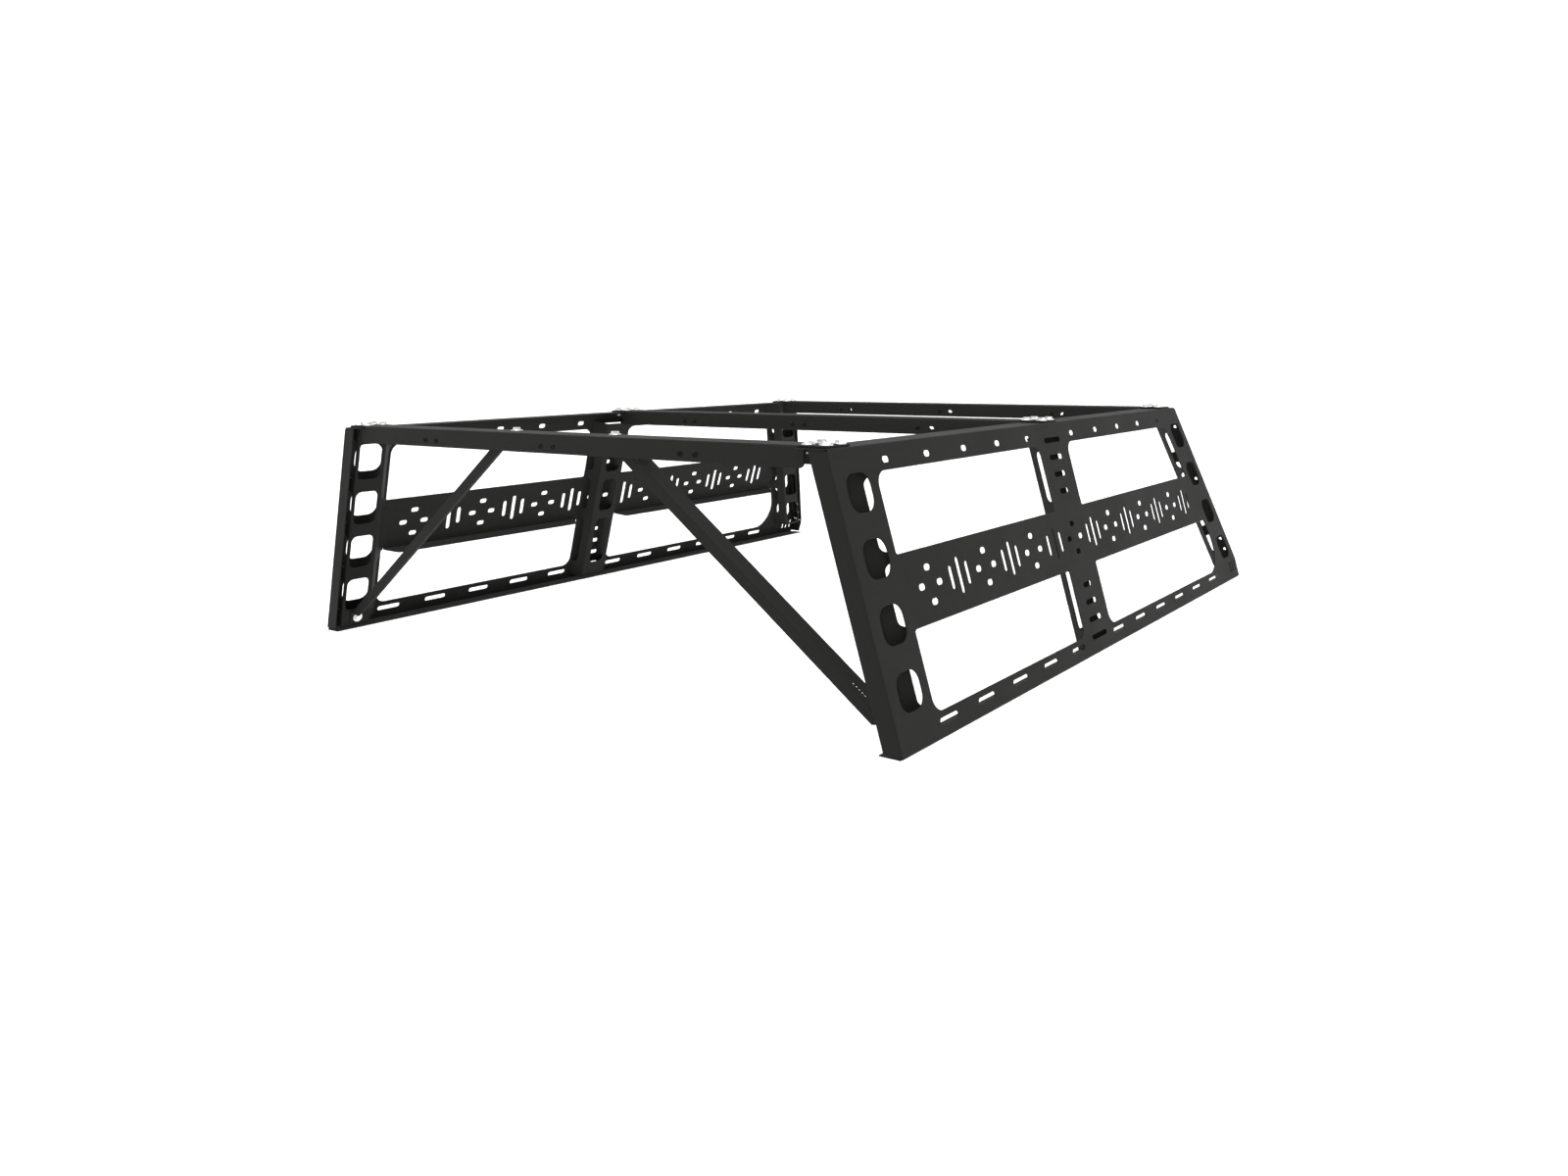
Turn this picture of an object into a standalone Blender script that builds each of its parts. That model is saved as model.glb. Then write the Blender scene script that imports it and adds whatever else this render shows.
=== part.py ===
"""Pickup bed ladder rack: two leaning sheet side panels with inner uprights,
three crossbars bolted on top and two diagonal braces under the rear crossbar.

World frame: X across the truck, +Y from the rear (tailgate) edge towards the cab,
+Z up; the origin is on the ground plane under the middle of the rack's length.
Each side panel has a local frame: x = s along the panel, y = u up its slope.
Depth is measured from the panel's outer face towards the inside of the rack.
"""
import math

import bmesh
import bpy
from mathutils import Matrix, Vector

# ---- driving dimensions (metres) ----
BOTTOM_HALF_WIDTH = 0.7296
LEAN = math.radians(16.87)
PANEL_SLOPE_HEIGHT = 0.461
PANEL_BOTTOM_LENGTH = 1.717
PANEL_TOP_LENGTH = 1.529
TOE_HEIGHT = 0.051
SHEET = 0.002
GAP = 0.0003
INSET = 0.0001

RAIL_HEIGHT = 0.042
BAND_LOW = 0.172
BAND_HIGH = 0.290
UPRIGHT_WIDTH = 0.116
FAR_UPRIGHT_WIDTH = 0.1203
MID_UPRIGHT_CENTRE = 0.7672
MID_UPRIGHT_HALF = 0.0655
WINDOW_RADIUS = 0.024
WINDOW_TOE_RADIUS = 0.062
BAND_CORNER_RADIUS = 0.004

FLANGE_DEPTH = 0.031
FRONT_FLANGE_HOLE_RADIUS = 0.0045
FRONT_FLANGE_HOLE_DEPTH = 0.016
FRONT_FLANGE_HOLES = (0.0795, 0.109, 0.2769, 0.4162)
TOP_FLANGE_WIDTH = 0.056
FOOT_FLANGE_WIDTH = 0.0416
BAND_FLANGE_DEPTH = 0.028
BAND_FLANGE_TAPER = 0.022
BAND_FLANGE_CLEARANCE = 0.003

DIAMOND_PITCH = 0.190
FIRST_DIAMOND = 0.1942
DIAMOND_COUNT = 7
DIAMOND_REACH = 0.0278
HOLE_LENGTH = 0.020
HOLE_HEIGHT = 0.0105
GROUP_SPACING = 0.0274
GROUP_SLOT_WIDTH = 0.0105
GROUP_LONG = 0.061
GROUP_SHORT = 0.0395
RAIL_PITCH = 0.127
REAR_RAIL_START = 0.152
FRONT_RAIL_START = 0.8677
RAIL_HOLE_COUNT = 5
RAIL_SLOT_LENGTH = 0.058
TOP_HOLE_HEIGHT = 0.4357
BOTTOM_SLOT_HEIGHT = 0.0264
LADDER_PITCH = 0.034
LADDER_LENGTHS = (0.073, 0.060, 0.051, 0.040)

OPENING_PITCH = 0.1005
OPENING_FIRST = 0.0905
OPENING_COUNT = 4
OPENING_WIDTH = 0.066
OPENING_HEIGHT = 0.060
OPENING_RADIUS = 0.022
FAR_OPENING_RADIUS = 0.016
OPENING_FROM_EDGE = 0.062

CHANNEL_DEPTH = 0.032
CHANNEL_BOTTOM = 0.016
MID_CHANNEL_TOP = 0.440
FAR_CHANNEL_BOTTOM = 0.048
CHANNEL_EDGE = 0.0143
CHANNEL_WEB_WIDTH = 0.0657
REAR_FOOT = 0.1152
FRONT_FOOT = 0.1085
CHANNEL_HEADROOM = 0.0005
WEB_OPENING_CENTRE = 0.0457
WEB_OPENING_WIDTH = 0.0525
WEB_OPENING_HEIGHT = 0.0735
WEB_OPENING_RADIUS = 0.013
TOP_WEB_OPENING_END = 0.438
SQUARE_WALL_SPAN = (0.009, 0.026)
WALL_OPENING_ROUNDNESS = 0.48
FLARED_WALL_SPAN = (-0.010, 0.0163)
REAR_FLARE_OPENINGS = ((0.0575, 0.160), (0.181, 0.279), (0.297, 0.413))
FRONT_FLARE_OPENINGS = ((0.086, 0.180), (0.202, 0.299), (0.314, 0.403))
MID_CHANNEL_CENTRE = 0.7645
MID_WEB_HALF = 0.0395
MID_FOOT_HALF = 0.0600
MID_OPENING_WIDTH = 0.047
MID_OPENINGS = ((0.0535, 0.179), (0.2012, 0.2883), (0.3097, 0.411))

BAR_SHEET = 0.0033
BAR_WALL_INSET = 0.0001
BAR_WIDTH = 0.065
BAR_HEIGHT = 0.0336
BAR_REAR_FACES = (0.009, 0.756, 1.438)
BAR_HALF_LENGTH = 0.590
BAR_WEB_HALF_LENGTH = 0.551
BAR_WEB_CORNER = 0.010
BAR_PAIR_PITCH = 0.3255
BAR_PAIR_HALF = 0.016
BAR_HOLE_LENGTH = 0.014
BAR_HOLE_HEIGHT = 0.010
BAR_HOLE_DROP = 0.0215
NOTCH_CLEARANCE = 0.0015

BOLT_HEAD_RADIUS = 0.0074
BOLT_HEAD_HEIGHT = 0.006
BOLT_FLANGE_RADIUS = 0.0108
BOLT_FLANGE_HEIGHT = 0.0016
BOLT_SHANK_RADIUS = 0.004
BOLT_HOLE_RADIUS = 0.005
BOLT_LENGTH = 0.013
BOLT_COLUMNS = (0.549, 0.580)
BOLT_ROW_HALF = 0.017
STRIP_THICKNESS = 0.004
STRIP_MARGIN = 0.0072
NUT_RADIUS = 0.0074
NUT_HEIGHT = 0.006
NUT_BORE_RADIUS = 0.0047

BRACE_SLOPE = math.atan2(3, 4)
BRACE_LINE = 0.439
BRACE_REAR = 0.033
BRACE_WIDTH = 0.036
BRACE_FLANGE = 0.020
BRACE_TAB = 0.032
BRACE_TOE = 0.025
BRACE_DOT_RADIUS = 0.0022
BRACE_DOT_START = 0.0618
BRACE_DOT_PITCH = 0.0066
BRACE_DOT_FROM_EDGE = 0.013
BRACE_DOT_COUNT = 5
BRACE_TAB_BOLT = 0.0176
TOE_HOLE_REACH = 0.02

BADGE_SLOT_LENGTH = 0.028
BADGE_SLOT_WIDTH = 0.007
BADGE_SLOT_PITCH = 0.019
BADGE_START = (1.657, 0.033)

# ---- worked out ----
SIN_LEAN = math.sin(LEAN)
COS_LEAN = math.cos(LEAN)
PANEL_TOP_Z = PANEL_SLOPE_HEIGHT * COS_LEAN
TOP_HALF_WIDTH = BOTTOM_HALF_WIDTH - PANEL_SLOPE_HEIGHT * SIN_LEAN
FAR_SLOPE = (PANEL_BOTTOM_LENGTH - PANEL_TOP_LENGTH) / (PANEL_SLOPE_HEIGHT - TOE_HEIGHT)
FAR_STRETCH = math.hypot(1, FAR_SLOPE)
MID_LENGTH = PANEL_BOTTOM_LENGTH / 2
BAR_UNDERSIDE = PANEL_TOP_Z + GAP
BAR_TOP = BAR_UNDERSIDE + BAR_SHEET
TRIM = 0.1
BEYOND = 1

ARC_STEPS = 2
BIG_ARC_STEPS = 4

SIDES = (("left", -1), ("right", 1))
STATIONS = ("rear", "mid", "front")


def clear_scene():
    for item in list(bpy.data.objects):
        bpy.data.objects.remove(item, do_unlink=True)


def new_collection(name):
    collection = bpy.data.collections.new(name)
    bpy.context.scene.collection.children.link(collection)
    return collection


def new_material(name, colour, roughness, metallic):
    material = bpy.data.materials.new(name)
    material.use_nodes = True
    shader = material.node_tree.nodes["Principled BSDF"]
    shader.inputs["Base Color"].default_value = (*colour, 1)
    shader.inputs["Roughness"].default_value = roughness
    shader.inputs["Metallic"].default_value = metallic
    return material


clear_scene()
PARTS = new_collection("ladder_rack")
CUTTERS = new_collection("cutters")
BLACK_COAT = new_material("black_powder_coat", (0.03, 0.03, 0.029), 0.55, 0.0)
ZINC = new_material("zinc_plate", (0.62, 0.62, 0.6), 0.35, 1.0)


# ---- outlines ----
def arc(centre, radius, start, end, steps):
    """Points on an arc, both ends included."""
    angles = (start + (end - start) * i / steps for i in range(steps + 1))
    return [(centre[0] + radius * math.cos(a), centre[1] + radius * math.sin(a)) for a in angles]


def rounded(corners, radii, steps=BIG_ARC_STEPS):
    """A polygon, counter-clockwise, with each corner rounded by its own radius."""
    points = []
    count = len(corners)
    for i, corner in enumerate(corners):
        here = Vector(corner)
        before = (Vector(corners[i - 1]) - here).normalized()
        after = (Vector(corners[(i + 1) % count]) - here).normalized()
        half = before.angle(after) / 2
        if radii[i] == 0:
            points.append(tuple(here))
            continue
        centre = here + (before + after).normalized() * radii[i] / math.sin(half)
        first = here + before * radii[i] / math.tan(half) - centre
        last = here + after * radii[i] / math.tan(half) - centre
        start = math.atan2(first.y, first.x)
        sweep = math.atan2(last.y, last.x) - start
        sweep -= 2 * math.pi * round(sweep / (2 * math.pi))
        corner_steps = max(1, steps if radii[i] > BAND_CORNER_RADIUS else 1)
        points += arc(centre, radii[i], start, start + sweep, corner_steps)
    return points


def rectangle(x0, y0, x1, y1):
    return [(x0, y0), (x1, y0), (x1, y1), (x0, y1)]


def obround(cx, cy, length, height, steps=ARC_STEPS):
    """A slot with round ends, lying along its longer side."""
    radius = min(length, height) / 2
    reach = abs(length - height) / 2
    if length >= height:
        right = arc((cx + reach, cy), radius, -math.pi / 2, math.pi / 2, steps)
        left = arc((cx - reach, cy), radius, math.pi / 2, 3 * math.pi / 2, steps)
        return right + left
    top = arc((cx, cy + reach), radius, 0, math.pi, steps)
    bottom = arc((cx, cy - reach), radius, math.pi, 2 * math.pi, steps)
    return top + bottom


def circle(cx, cy, radius, steps=6):
    return arc((cx, cy), radius, 0, 2 * math.pi * (steps - 1) / steps, steps - 1)


def bent_strip(line, thickness, level_ends=False):
    """A closed outline of a folded sheet: the line, and the same line offset to its left.

    Its ends are square to the sheet, or cut along the outline's x when level_ends is set."""
    offset = []
    for i, point in enumerate(line):
        here = Vector(point)
        normals = []
        for a, b in ((i - 1, i), (i, i + 1)):
            if a >= 0 and b < len(line):
                step = (Vector(line[b]) - Vector(line[a])).normalized()
                normals.append(Vector((-step.y, step.x)))
        mitre = sum(normals, Vector((0, 0))).normalized()
        moved = here + mitre * thickness / mitre.dot(normals[0])
        if level_ends and len(normals) == 1:
            run = Vector((normals[0].y, -normals[0].x))
            moved += run * (here.y - moved.y) / run.y
        offset.append(tuple(moved))
    return list(line) + offset[::-1]


# ---- solids ----
def face_outward(mesh, work):
    """Write a closed bmesh back with all of its faces pointing out."""
    bmesh.ops.recalc_face_normals(work, faces=work.faces)
    if work.calc_volume(signed=True) < 0:
        bmesh.ops.reverse_faces(work, faces=work.faces)
    work.to_mesh(mesh)
    work.free()
    return mesh


def slab(outline, low, high, holes=()):
    """A mesh of a flat outline, with holes, from height low to height high."""
    curve = bpy.data.curves.new("outline", "CURVE")
    curve.dimensions = "2D"
    curve.fill_mode = "BOTH"
    curve.extrude = abs(high - low) / 2
    for points in (outline, *holes):
        spline = curve.splines.new("POLY")
        spline.points.add(len(points) - 1)
        for target, (x, y) in zip(spline.points, points):
            target.co = (x, y, 0, 1)
        spline.use_cyclic_u = True
    holder = bpy.data.objects.new("outline", curve)
    CUTTERS.objects.link(holder)
    depsgraph = bpy.context.evaluated_depsgraph_get()
    mesh = bpy.data.meshes.new_from_object(holder.evaluated_get(depsgraph))
    bpy.data.objects.remove(holder)
    mesh.transform(Matrix.Translation((0, 0, (low + high) / 2)))
    work = bmesh.new()
    work.from_mesh(mesh)
    bmesh.ops.remove_doubles(work, verts=work.verts, dist=0.00001)
    # turn the edges of the two flat caps, so that no triangle spans three points in a line
    caps = [face for face in work.faces if len({round(v.co.z, 6) for v in face.verts}) == 1]
    inner = {edge for face in caps for edge in face.edges if all(f in caps for f in edge.link_faces)}
    bmesh.ops.beautify_fill(work, faces=caps, edges=list(inner), method="ANGLE")
    return face_outward(mesh, work)


def standing(mesh):
    """Turn a slab drawn in X and Z, with its thickness along Y, upright."""
    mesh.transform(Matrix(((1, 0, 0, 0), (0, 0, 1, 0), (0, 1, 0, 0), (0, 0, 0, 1))))
    mesh.flip_normals()
    return mesh


def warped(mesh, mapping):
    """Move every point of a mesh by a rule, and keep its faces pointing out."""
    work = bmesh.new()
    work.from_mesh(mesh)
    for vertex in work.verts:
        vertex.co = mapping(vertex.co)
    return face_outward(mesh, work)


def place(name, mesh, material=None, parent=None):
    """Add a part when it has a material, otherwise a cutter or a piece to join."""
    item = bpy.data.objects.new(name, mesh)
    item.parent = parent
    if material is None:
        CUTTERS.objects.link(item)
        item.hide_render = True
        item.display_type = "WIRE"
        return item
    mesh.materials.append(material)
    PARTS.objects.link(item)
    return item


def combine(item, tool, operation):
    boolean = item.modifiers.new(f"{operation.lower()}_{len(item.modifiers)}", "BOOLEAN")
    boolean.operation = operation
    boolean.object = tool


def box(x0, x1, y0, y1, z0, z1):
    return slab(rectangle(x0, y0, x1, y1), z0, z1)


# ---- side panels ----
def far_edge(u):
    """Position along the panel of its slanted front edge at slope height u."""
    return PANEL_BOTTOM_LENGTH - (u - TOE_HEIGHT) * FAR_SLOPE


def leaned_rectangle(centre, u, width, height, radius):
    """A rounded opening whose sides run along the slanted front edge."""
    lean = FAR_SLOPE * height / 2
    low, high = u - height / 2, u + height / 2
    corners = [(centre - width / 2 + lean, low), (centre + width / 2 + lean, low),
               (centre + width / 2 - lean, high), (centre - width / 2 - lean, high)]
    return rounded(corners, [radius] * 4)


def upright_rectangle(centre, u, width, height, radius):
    corners = rectangle(centre - width / 2, u - height / 2, centre + width / 2, u + height / 2)
    return rounded(corners, [radius] * 4)


def opening_heights():
    return [OPENING_FIRST + i * OPENING_PITCH for i in range(OPENING_COUNT)]


def windows():
    """The four big openings between rails, band and uprights."""
    rows = ((RAIL_HEIGHT, BAND_LOW, True), (BAND_HIGH, PANEL_SLOPE_HEIGHT - RAIL_HEIGHT, False))
    outlines = []
    for low, high, lower in rows:
        rail, band = WINDOW_RADIUS, BAND_CORNER_RADIUS
        radii = [rail, rail, band, band] if lower else [band, band, rail, rail]
        rear = rectangle(UPRIGHT_WIDTH, low, MID_UPRIGHT_CENTRE - MID_UPRIGHT_HALF, high)
        outlines.append(rounded(rear, radii))
        far = WINDOW_TOE_RADIUS
        radii = [rail, far, band, band] if lower else [band, band, far, rail]
        start = MID_UPRIGHT_CENTRE + MID_UPRIGHT_HALF
        front = [(start, low), (far_edge(low) - FAR_UPRIGHT_WIDTH, low),
                 (far_edge(high) - FAR_UPRIGHT_WIDTH, high), (start, high)]
        outlines.append(rounded(front, radii))
    return outlines


def band_holes():
    """Alternating diamonds of four holes and groups of three upright slots."""
    middle = (BAND_LOW + BAND_HIGH) / 2
    outlines = []
    for i in range(DIAMOND_COUNT):
        s = FIRST_DIAMOND + i * DIAMOND_PITCH
        for ds, du in ((-1, 0), (1, 0), (0, -1), (0, 1)):
            outlines.append(obround(s + ds * DIAMOND_REACH, middle + du * DIAMOND_REACH,
                                    HOLE_LENGTH, HOLE_HEIGHT))
        for k, length in ((-1, GROUP_SHORT), (0, GROUP_LONG), (1, GROUP_SHORT)):
            slot = s + DIAMOND_PITCH / 2 + k * GROUP_SPACING
            outlines.append(obround(slot, middle, GROUP_SLOT_WIDTH, length, 2))
    return outlines


def rail_holes():
    outlines = []
    for start, slots in ((REAR_RAIL_START, RAIL_HOLE_COUNT), (FRONT_RAIL_START, RAIL_HOLE_COUNT + 1)):
        for i in range(slots):
            s = start + i * RAIL_PITCH
            outlines.append(obround(s, BOTTOM_SLOT_HEIGHT, RAIL_SLOT_LENGTH, HOLE_HEIGHT))
            if i < RAIL_HOLE_COUNT:
                outlines.append(obround(s, TOP_HOLE_HEIGHT, HOLE_LENGTH, HOLE_HEIGHT))
    return outlines


def ladder_slots():
    """Slots on the middle upright, shorter towards the band."""
    outlines = []
    for i, length in enumerate(LADDER_LENGTHS):
        low = LADDER_PITCH * (i + 1)
        for u in (low, PANEL_SLOPE_HEIGHT - low):
            outlines.append(obround(MID_UPRIGHT_CENTRE, u, length, HOLE_HEIGHT))
    return outlines


def end_openings():
    outlines = []
    for u in opening_heights():
        size = (OPENING_WIDTH, OPENING_HEIGHT, OPENING_RADIUS)
        outlines.append(upright_rectangle(OPENING_FROM_EDGE, u, *size))
        size = (OPENING_WIDTH, OPENING_HEIGHT, FAR_OPENING_RADIUS)
        outlines.append(leaned_rectangle(far_edge(u) - OPENING_FROM_EDGE, u, *size))
    return outlines


def badge_slots():
    """Three plain upright slots near the front foot."""
    s, u = BADGE_START
    return [obround(s + i * BADGE_SLOT_PITCH, u, BADGE_SLOT_WIDTH, BADGE_SLOT_LENGTH, 2)
            for i in range(3)]


def panel_frame(side_name, side):
    """An empty whose local x runs along the panel and y up its slope."""
    frame = bpy.data.objects.new(f"panel_frame_{side_name}", None)
    PARTS.objects.link(frame)
    frame.matrix_world = Matrix(((0, -side * SIN_LEAN, COS_LEAN, side * BOTTOM_HALF_WIDTH),
                                 (1, 0, 0, -MID_LENGTH),
                                 (0, COS_LEAN, side * SIN_LEAN, 0),
                                 (0, 0, 0, 1)))
    return frame


def at_depth(outline, side, near, far, holes=()):
    """A slab in the panel's plane between two depths from its outer face."""
    low, high = sorted((-side * near, -side * far))
    return slab(outline, low, high, holes)


def along_slope(outline, side, low, high):
    """A solid whose section is drawn in (s, depth) and that runs up the slope from low to high."""
    mesh = slab(outline, low, high)
    return warped(mesh, lambda co: Vector((co.x, co.z, -side * co.y)))


def bolt_positions(station, side):
    centre = BAR_REAR_FACES[station] + BAR_WIDTH / 2 - MID_LENGTH
    return [(side * x, centre + dy) for x in BOLT_COLUMNS for dy in (-BOLT_ROW_HALF, BOLT_ROW_HALF)]


def side_panel(side_name, side, frame):
    outline = [(0, 0), (PANEL_BOTTOM_LENGTH, 0), (PANEL_BOTTOM_LENGTH, TOE_HEIGHT),
               (PANEL_TOP_LENGTH, PANEL_SLOPE_HEIGHT), (0, PANEL_SLOPE_HEIGHT)]
    holes = windows() + band_holes() + rail_holes() + ladder_slots() + end_openings() + badge_slots()
    panel = place(f"side_panel_{side_name}", at_depth(outline, side, 0, SHEET, holes), BLACK_COAT, frame)

    # each flange starts inside the sheet and a little inside its edges, and runs past
    # the level top and bottom, where the two trims cut it off
    half_sheet = SHEET / 2
    reach = PANEL_SLOPE_HEIGHT + FLANGE_DEPTH

    # rear flange
    outline = rectangle(INSET, -FLANGE_DEPTH, SHEET, reach)
    rear = at_depth(outline, side, half_sheet, FLANGE_DEPTH)
    combine(panel, place(f"rear_flange_{side_name}", rear, parent=frame), "UNION")

    # front flange follows the toe and the slanted edge
    edge = [(PANEL_BOTTOM_LENGTH - INSET, -FLANGE_DEPTH), (PANEL_BOTTOM_LENGTH - INSET, TOE_HEIGHT),
            (far_edge(reach) - INSET, reach)]
    front = at_depth(bent_strip(edge, SHEET), side, half_sheet, FLANGE_DEPTH)
    combine(panel, place(f"front_flange_{side_name}", front, parent=frame), "UNION")
    holes = [circle(FRONT_FLANGE_HOLE_DEPTH, u, FRONT_FLANGE_HOLE_RADIUS) for u in FRONT_FLANGE_HOLES]
    cut_wall(panel, f"front_flange_hole_{side_name}", side, frame, holes, -SHEET, 2 * SHEET,
             lambda co: Vector((far_edge(co.y) - co.x, co.y, co.z)))

    # level flanges: the crossbars bolt to the top one, the foot rests on the bottom one
    y0, y1 = 2 * INSET - MID_LENGTH, PANEL_BOTTOM_LENGTH - MID_LENGTH - 2 * INSET
    y_top = PANEL_TOP_LENGTH - MID_LENGTH - 2 * INSET
    holes = [circle(x, y, BOLT_HOLE_RADIUS) for k in range(3) for x, y in bolt_positions(k, side)]
    xs = sorted((side * (TOP_HALF_WIDTH - half_sheet), side * (TOP_HALF_WIDTH - TOP_FLANGE_WIDTH)))
    outline = rectangle(xs[0], y0, xs[1], y_top)
    top = slab(outline, PANEL_TOP_Z - SHEET, PANEL_TOP_Z + SHEET, holes)
    combine(panel, place(f"top_flange_{side_name}", top), "UNION")
    xs = sorted((side * (BOTTOM_HALF_WIDTH - half_sheet), side * (BOTTOM_HALF_WIDTH - FOOT_FLANGE_WIDTH)))
    foot = box(xs[0], xs[1], y0, y1, -SHEET, SHEET)
    combine(panel, place(f"foot_flange_{side_name}", foot), "UNION")

    # a stiffening flange along the band's lower edge, one run per window
    u = BAND_LOW + INSET
    runs = ((UPRIGHT_WIDTH, MID_UPRIGHT_CENTRE - MID_UPRIGHT_HALF),
            (MID_UPRIGHT_CENTRE + MID_UPRIGHT_HALF, far_edge(u) - FAR_UPRIGHT_WIDTH))
    for run, (start, end) in enumerate(runs):
        start += BAND_FLANGE_CLEARANCE
        end -= BAND_FLANGE_CLEARANCE
        outline = rounded([(start, SHEET / 2), (end, SHEET / 2),
                           (end - BAND_FLANGE_TAPER, BAND_FLANGE_DEPTH),
                           (start + BAND_FLANGE_TAPER, BAND_FLANGE_DEPTH)],
                          [0, 0, BAND_FLANGE_TAPER / 2, BAND_FLANGE_TAPER / 2], ARC_STEPS)
        rib = along_slope(outline, side, u, u + SHEET)
        combine(panel, place(f"band_flange_{run}_{side_name}", rib, parent=frame), "UNION")

    for label, low, high in (("above", PANEL_TOP_Z, PANEL_TOP_Z + TRIM), ("below", -TRIM, 0)):
        trim = box(-BEYOND, BEYOND, -BEYOND, BEYOND, low, high)
        combine(panel, place(f"trim_{label}_{side_name}", trim), "DIFFERENCE")


# ---- inner uprights ----
def cut_web(item, name, side, frame, spans, centre, width, mapping):
    """Cut the rounded openings of a channel's web, given as spans of slope height."""
    for i, (low, high) in enumerate(spans):
        outline = upright_rectangle(centre, (low + high) / 2, width, high - low, WEB_OPENING_RADIUS)
        tool = at_depth(outline, side, CHANNEL_DEPTH - 2 * SHEET, CHANNEL_DEPTH + SHEET)
        combine(item, place(f"{name}_web_{i}", warped(tool, mapping), parent=frame), "DIFFERENCE")


def cut_wall(item, name, side, frame, outlines, start, end, mapping):
    """Cut outlines of depth and slope height through a channel's wall between two positions."""
    for i, outline in enumerate(outlines):
        tool = warped(slab(outline, start, end), lambda co: mapping(Vector((co.z, co.y, -side * co.x))))
        combine(item, place(f"{name}_{i}", tool, parent=frame), "DIFFERENCE")


def wall_openings(spans, depths):
    near, far = depths
    wide = far - near
    round_by = WALL_OPENING_ROUNDNESS * wide
    return [upright_rectangle((near + far) / 2, (low + high) / 2, wide, high - low, round_by)
            for low, high in spans]


def end_upright(name, side, frame, bottom, mapping, foot_end, flare_spans):
    """A folded channel behind a panel's end upright, square at its edge and flared inside."""
    web_end = CHANNEL_EDGE + CHANNEL_WEB_WIDTH
    foot = SHEET + GAP
    line = [(foot_end, foot), (web_end, CHANNEL_DEPTH), (CHANNEL_EDGE, CHANNEL_DEPTH), (CHANNEL_EDGE, foot)]
    mesh = along_slope(bent_strip(line, SHEET, True), side, bottom, PANEL_SLOPE_HEIGHT + SHEET)
    item = place(name, warped(mesh, mapping), BLACK_COAT, frame)
    low = PANEL_TOP_Z - SHEET - CHANNEL_HEADROOM
    ceiling = box(-BEYOND, BEYOND, -BEYOND, BEYOND, low, PANEL_TOP_Z + TRIM)
    combine(item, place(f"{name}_ceiling", ceiling), "DIFFERENCE")
    cut_web(item, name, side, frame, web_spans(bottom), WEB_OPENING_CENTRE, WEB_OPENING_WIDTH, mapping)
    flare = wall_openings(flare_spans, FLARED_WALL_SPAN)
    cut_wall(item, f"{name}_flare", side, frame, flare, web_end + SHEET, foot_end + SHEET, mapping)
    square = wall_openings(web_spans(bottom), SQUARE_WALL_SPAN)
    start = CHANNEL_EDGE - SHEET
    cut_wall(item, f"{name}_square", side, frame, square, start, start + 3 * SHEET, mapping)
    return item


def web_spans(bottom):
    """Slope heights of the openings in an end channel's web that start above its bottom."""
    half = WEB_OPENING_HEIGHT / 2
    spans = [(u - half, u + half) for u in opening_heights() if u - half > bottom]
    return spans[:-1] + [(spans[-1][0], TOP_WEB_OPENING_END)]


def mid_upright(name, side, frame):
    """A hat channel behind the middle upright, flared on both sides."""
    centre, foot = MID_CHANNEL_CENTRE, SHEET + GAP
    line = [(centre + MID_FOOT_HALF, foot), (centre + MID_WEB_HALF, CHANNEL_DEPTH),
            (centre - MID_WEB_HALF, CHANNEL_DEPTH), (centre - MID_FOOT_HALF, foot)]
    mesh = along_slope(bent_strip(line, SHEET, True), side, CHANNEL_BOTTOM, MID_CHANNEL_TOP)
    item = place(name, mesh, BLACK_COAT, frame)
    cut_web(item, name, side, frame, MID_OPENINGS, MID_UPRIGHT_CENTRE, MID_OPENING_WIDTH, lambda co: co)
    outlines = wall_openings(MID_OPENINGS, FLARED_WALL_SPAN)
    web, reach = MID_WEB_HALF + SHEET / 2, MID_FOOT_HALF + SHEET
    for label, start, end in (("rear", -reach, -web), ("front", web, reach)):
        cut_wall(item, f"{name}_{label}", side, frame, outlines,
                 centre + start, centre + end, lambda co: co)


def uprights(side_name, side, frame):
    rear = end_upright(f"rear_upright_{side_name}", side, frame, CHANNEL_BOTTOM, lambda co: co,
                       REAR_FOOT, REAR_FLARE_OPENINGS)
    mid_upright(f"mid_upright_{side_name}", side, frame)

    def to_front(co):
        return Vector((far_edge(co.y) - co.x * FAR_STRETCH, co.y, co.z))

    end_upright(f"front_upright_{side_name}", side, frame, FAR_CHANNEL_BOTTOM, to_front,
                FRONT_FOOT, FRONT_FLARE_OPENINGS)
    return rear


# ---- crossbars ----
def bar_web():
    """A crossbar's side wall in X and Z, notched over the panels' top flanges."""
    low = BAR_TOP - BAR_HEIGHT
    notch = PANEL_TOP_Z - SHEET - 2 * GAP
    step = TOP_HALF_WIDTH - TOP_FLANGE_WIDTH - NOTCH_CLEARANCE
    end = BAR_WEB_HALF_LENGTH
    overlap = BAR_TOP - BAR_SHEET / 2
    outline = rounded([(-end, low), (end, low), (end, notch), (step, notch), (step, overlap),
                       (-step, overlap), (-step, notch), (-end, notch)],
                      [BAR_WEB_CORNER, BAR_WEB_CORNER, 0, 0, 0, 0, 0, 0], ARC_STEPS)
    holes = [obround(pair * BAR_PAIR_PITCH + k * BAR_PAIR_HALF, BAR_TOP - BAR_HOLE_DROP,
                     BAR_HOLE_LENGTH, BAR_HOLE_HEIGHT, BIG_ARC_STEPS)
             for pair in (-1, 0, 1) for k in (-1, 1)]
    return outline, holes


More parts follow.
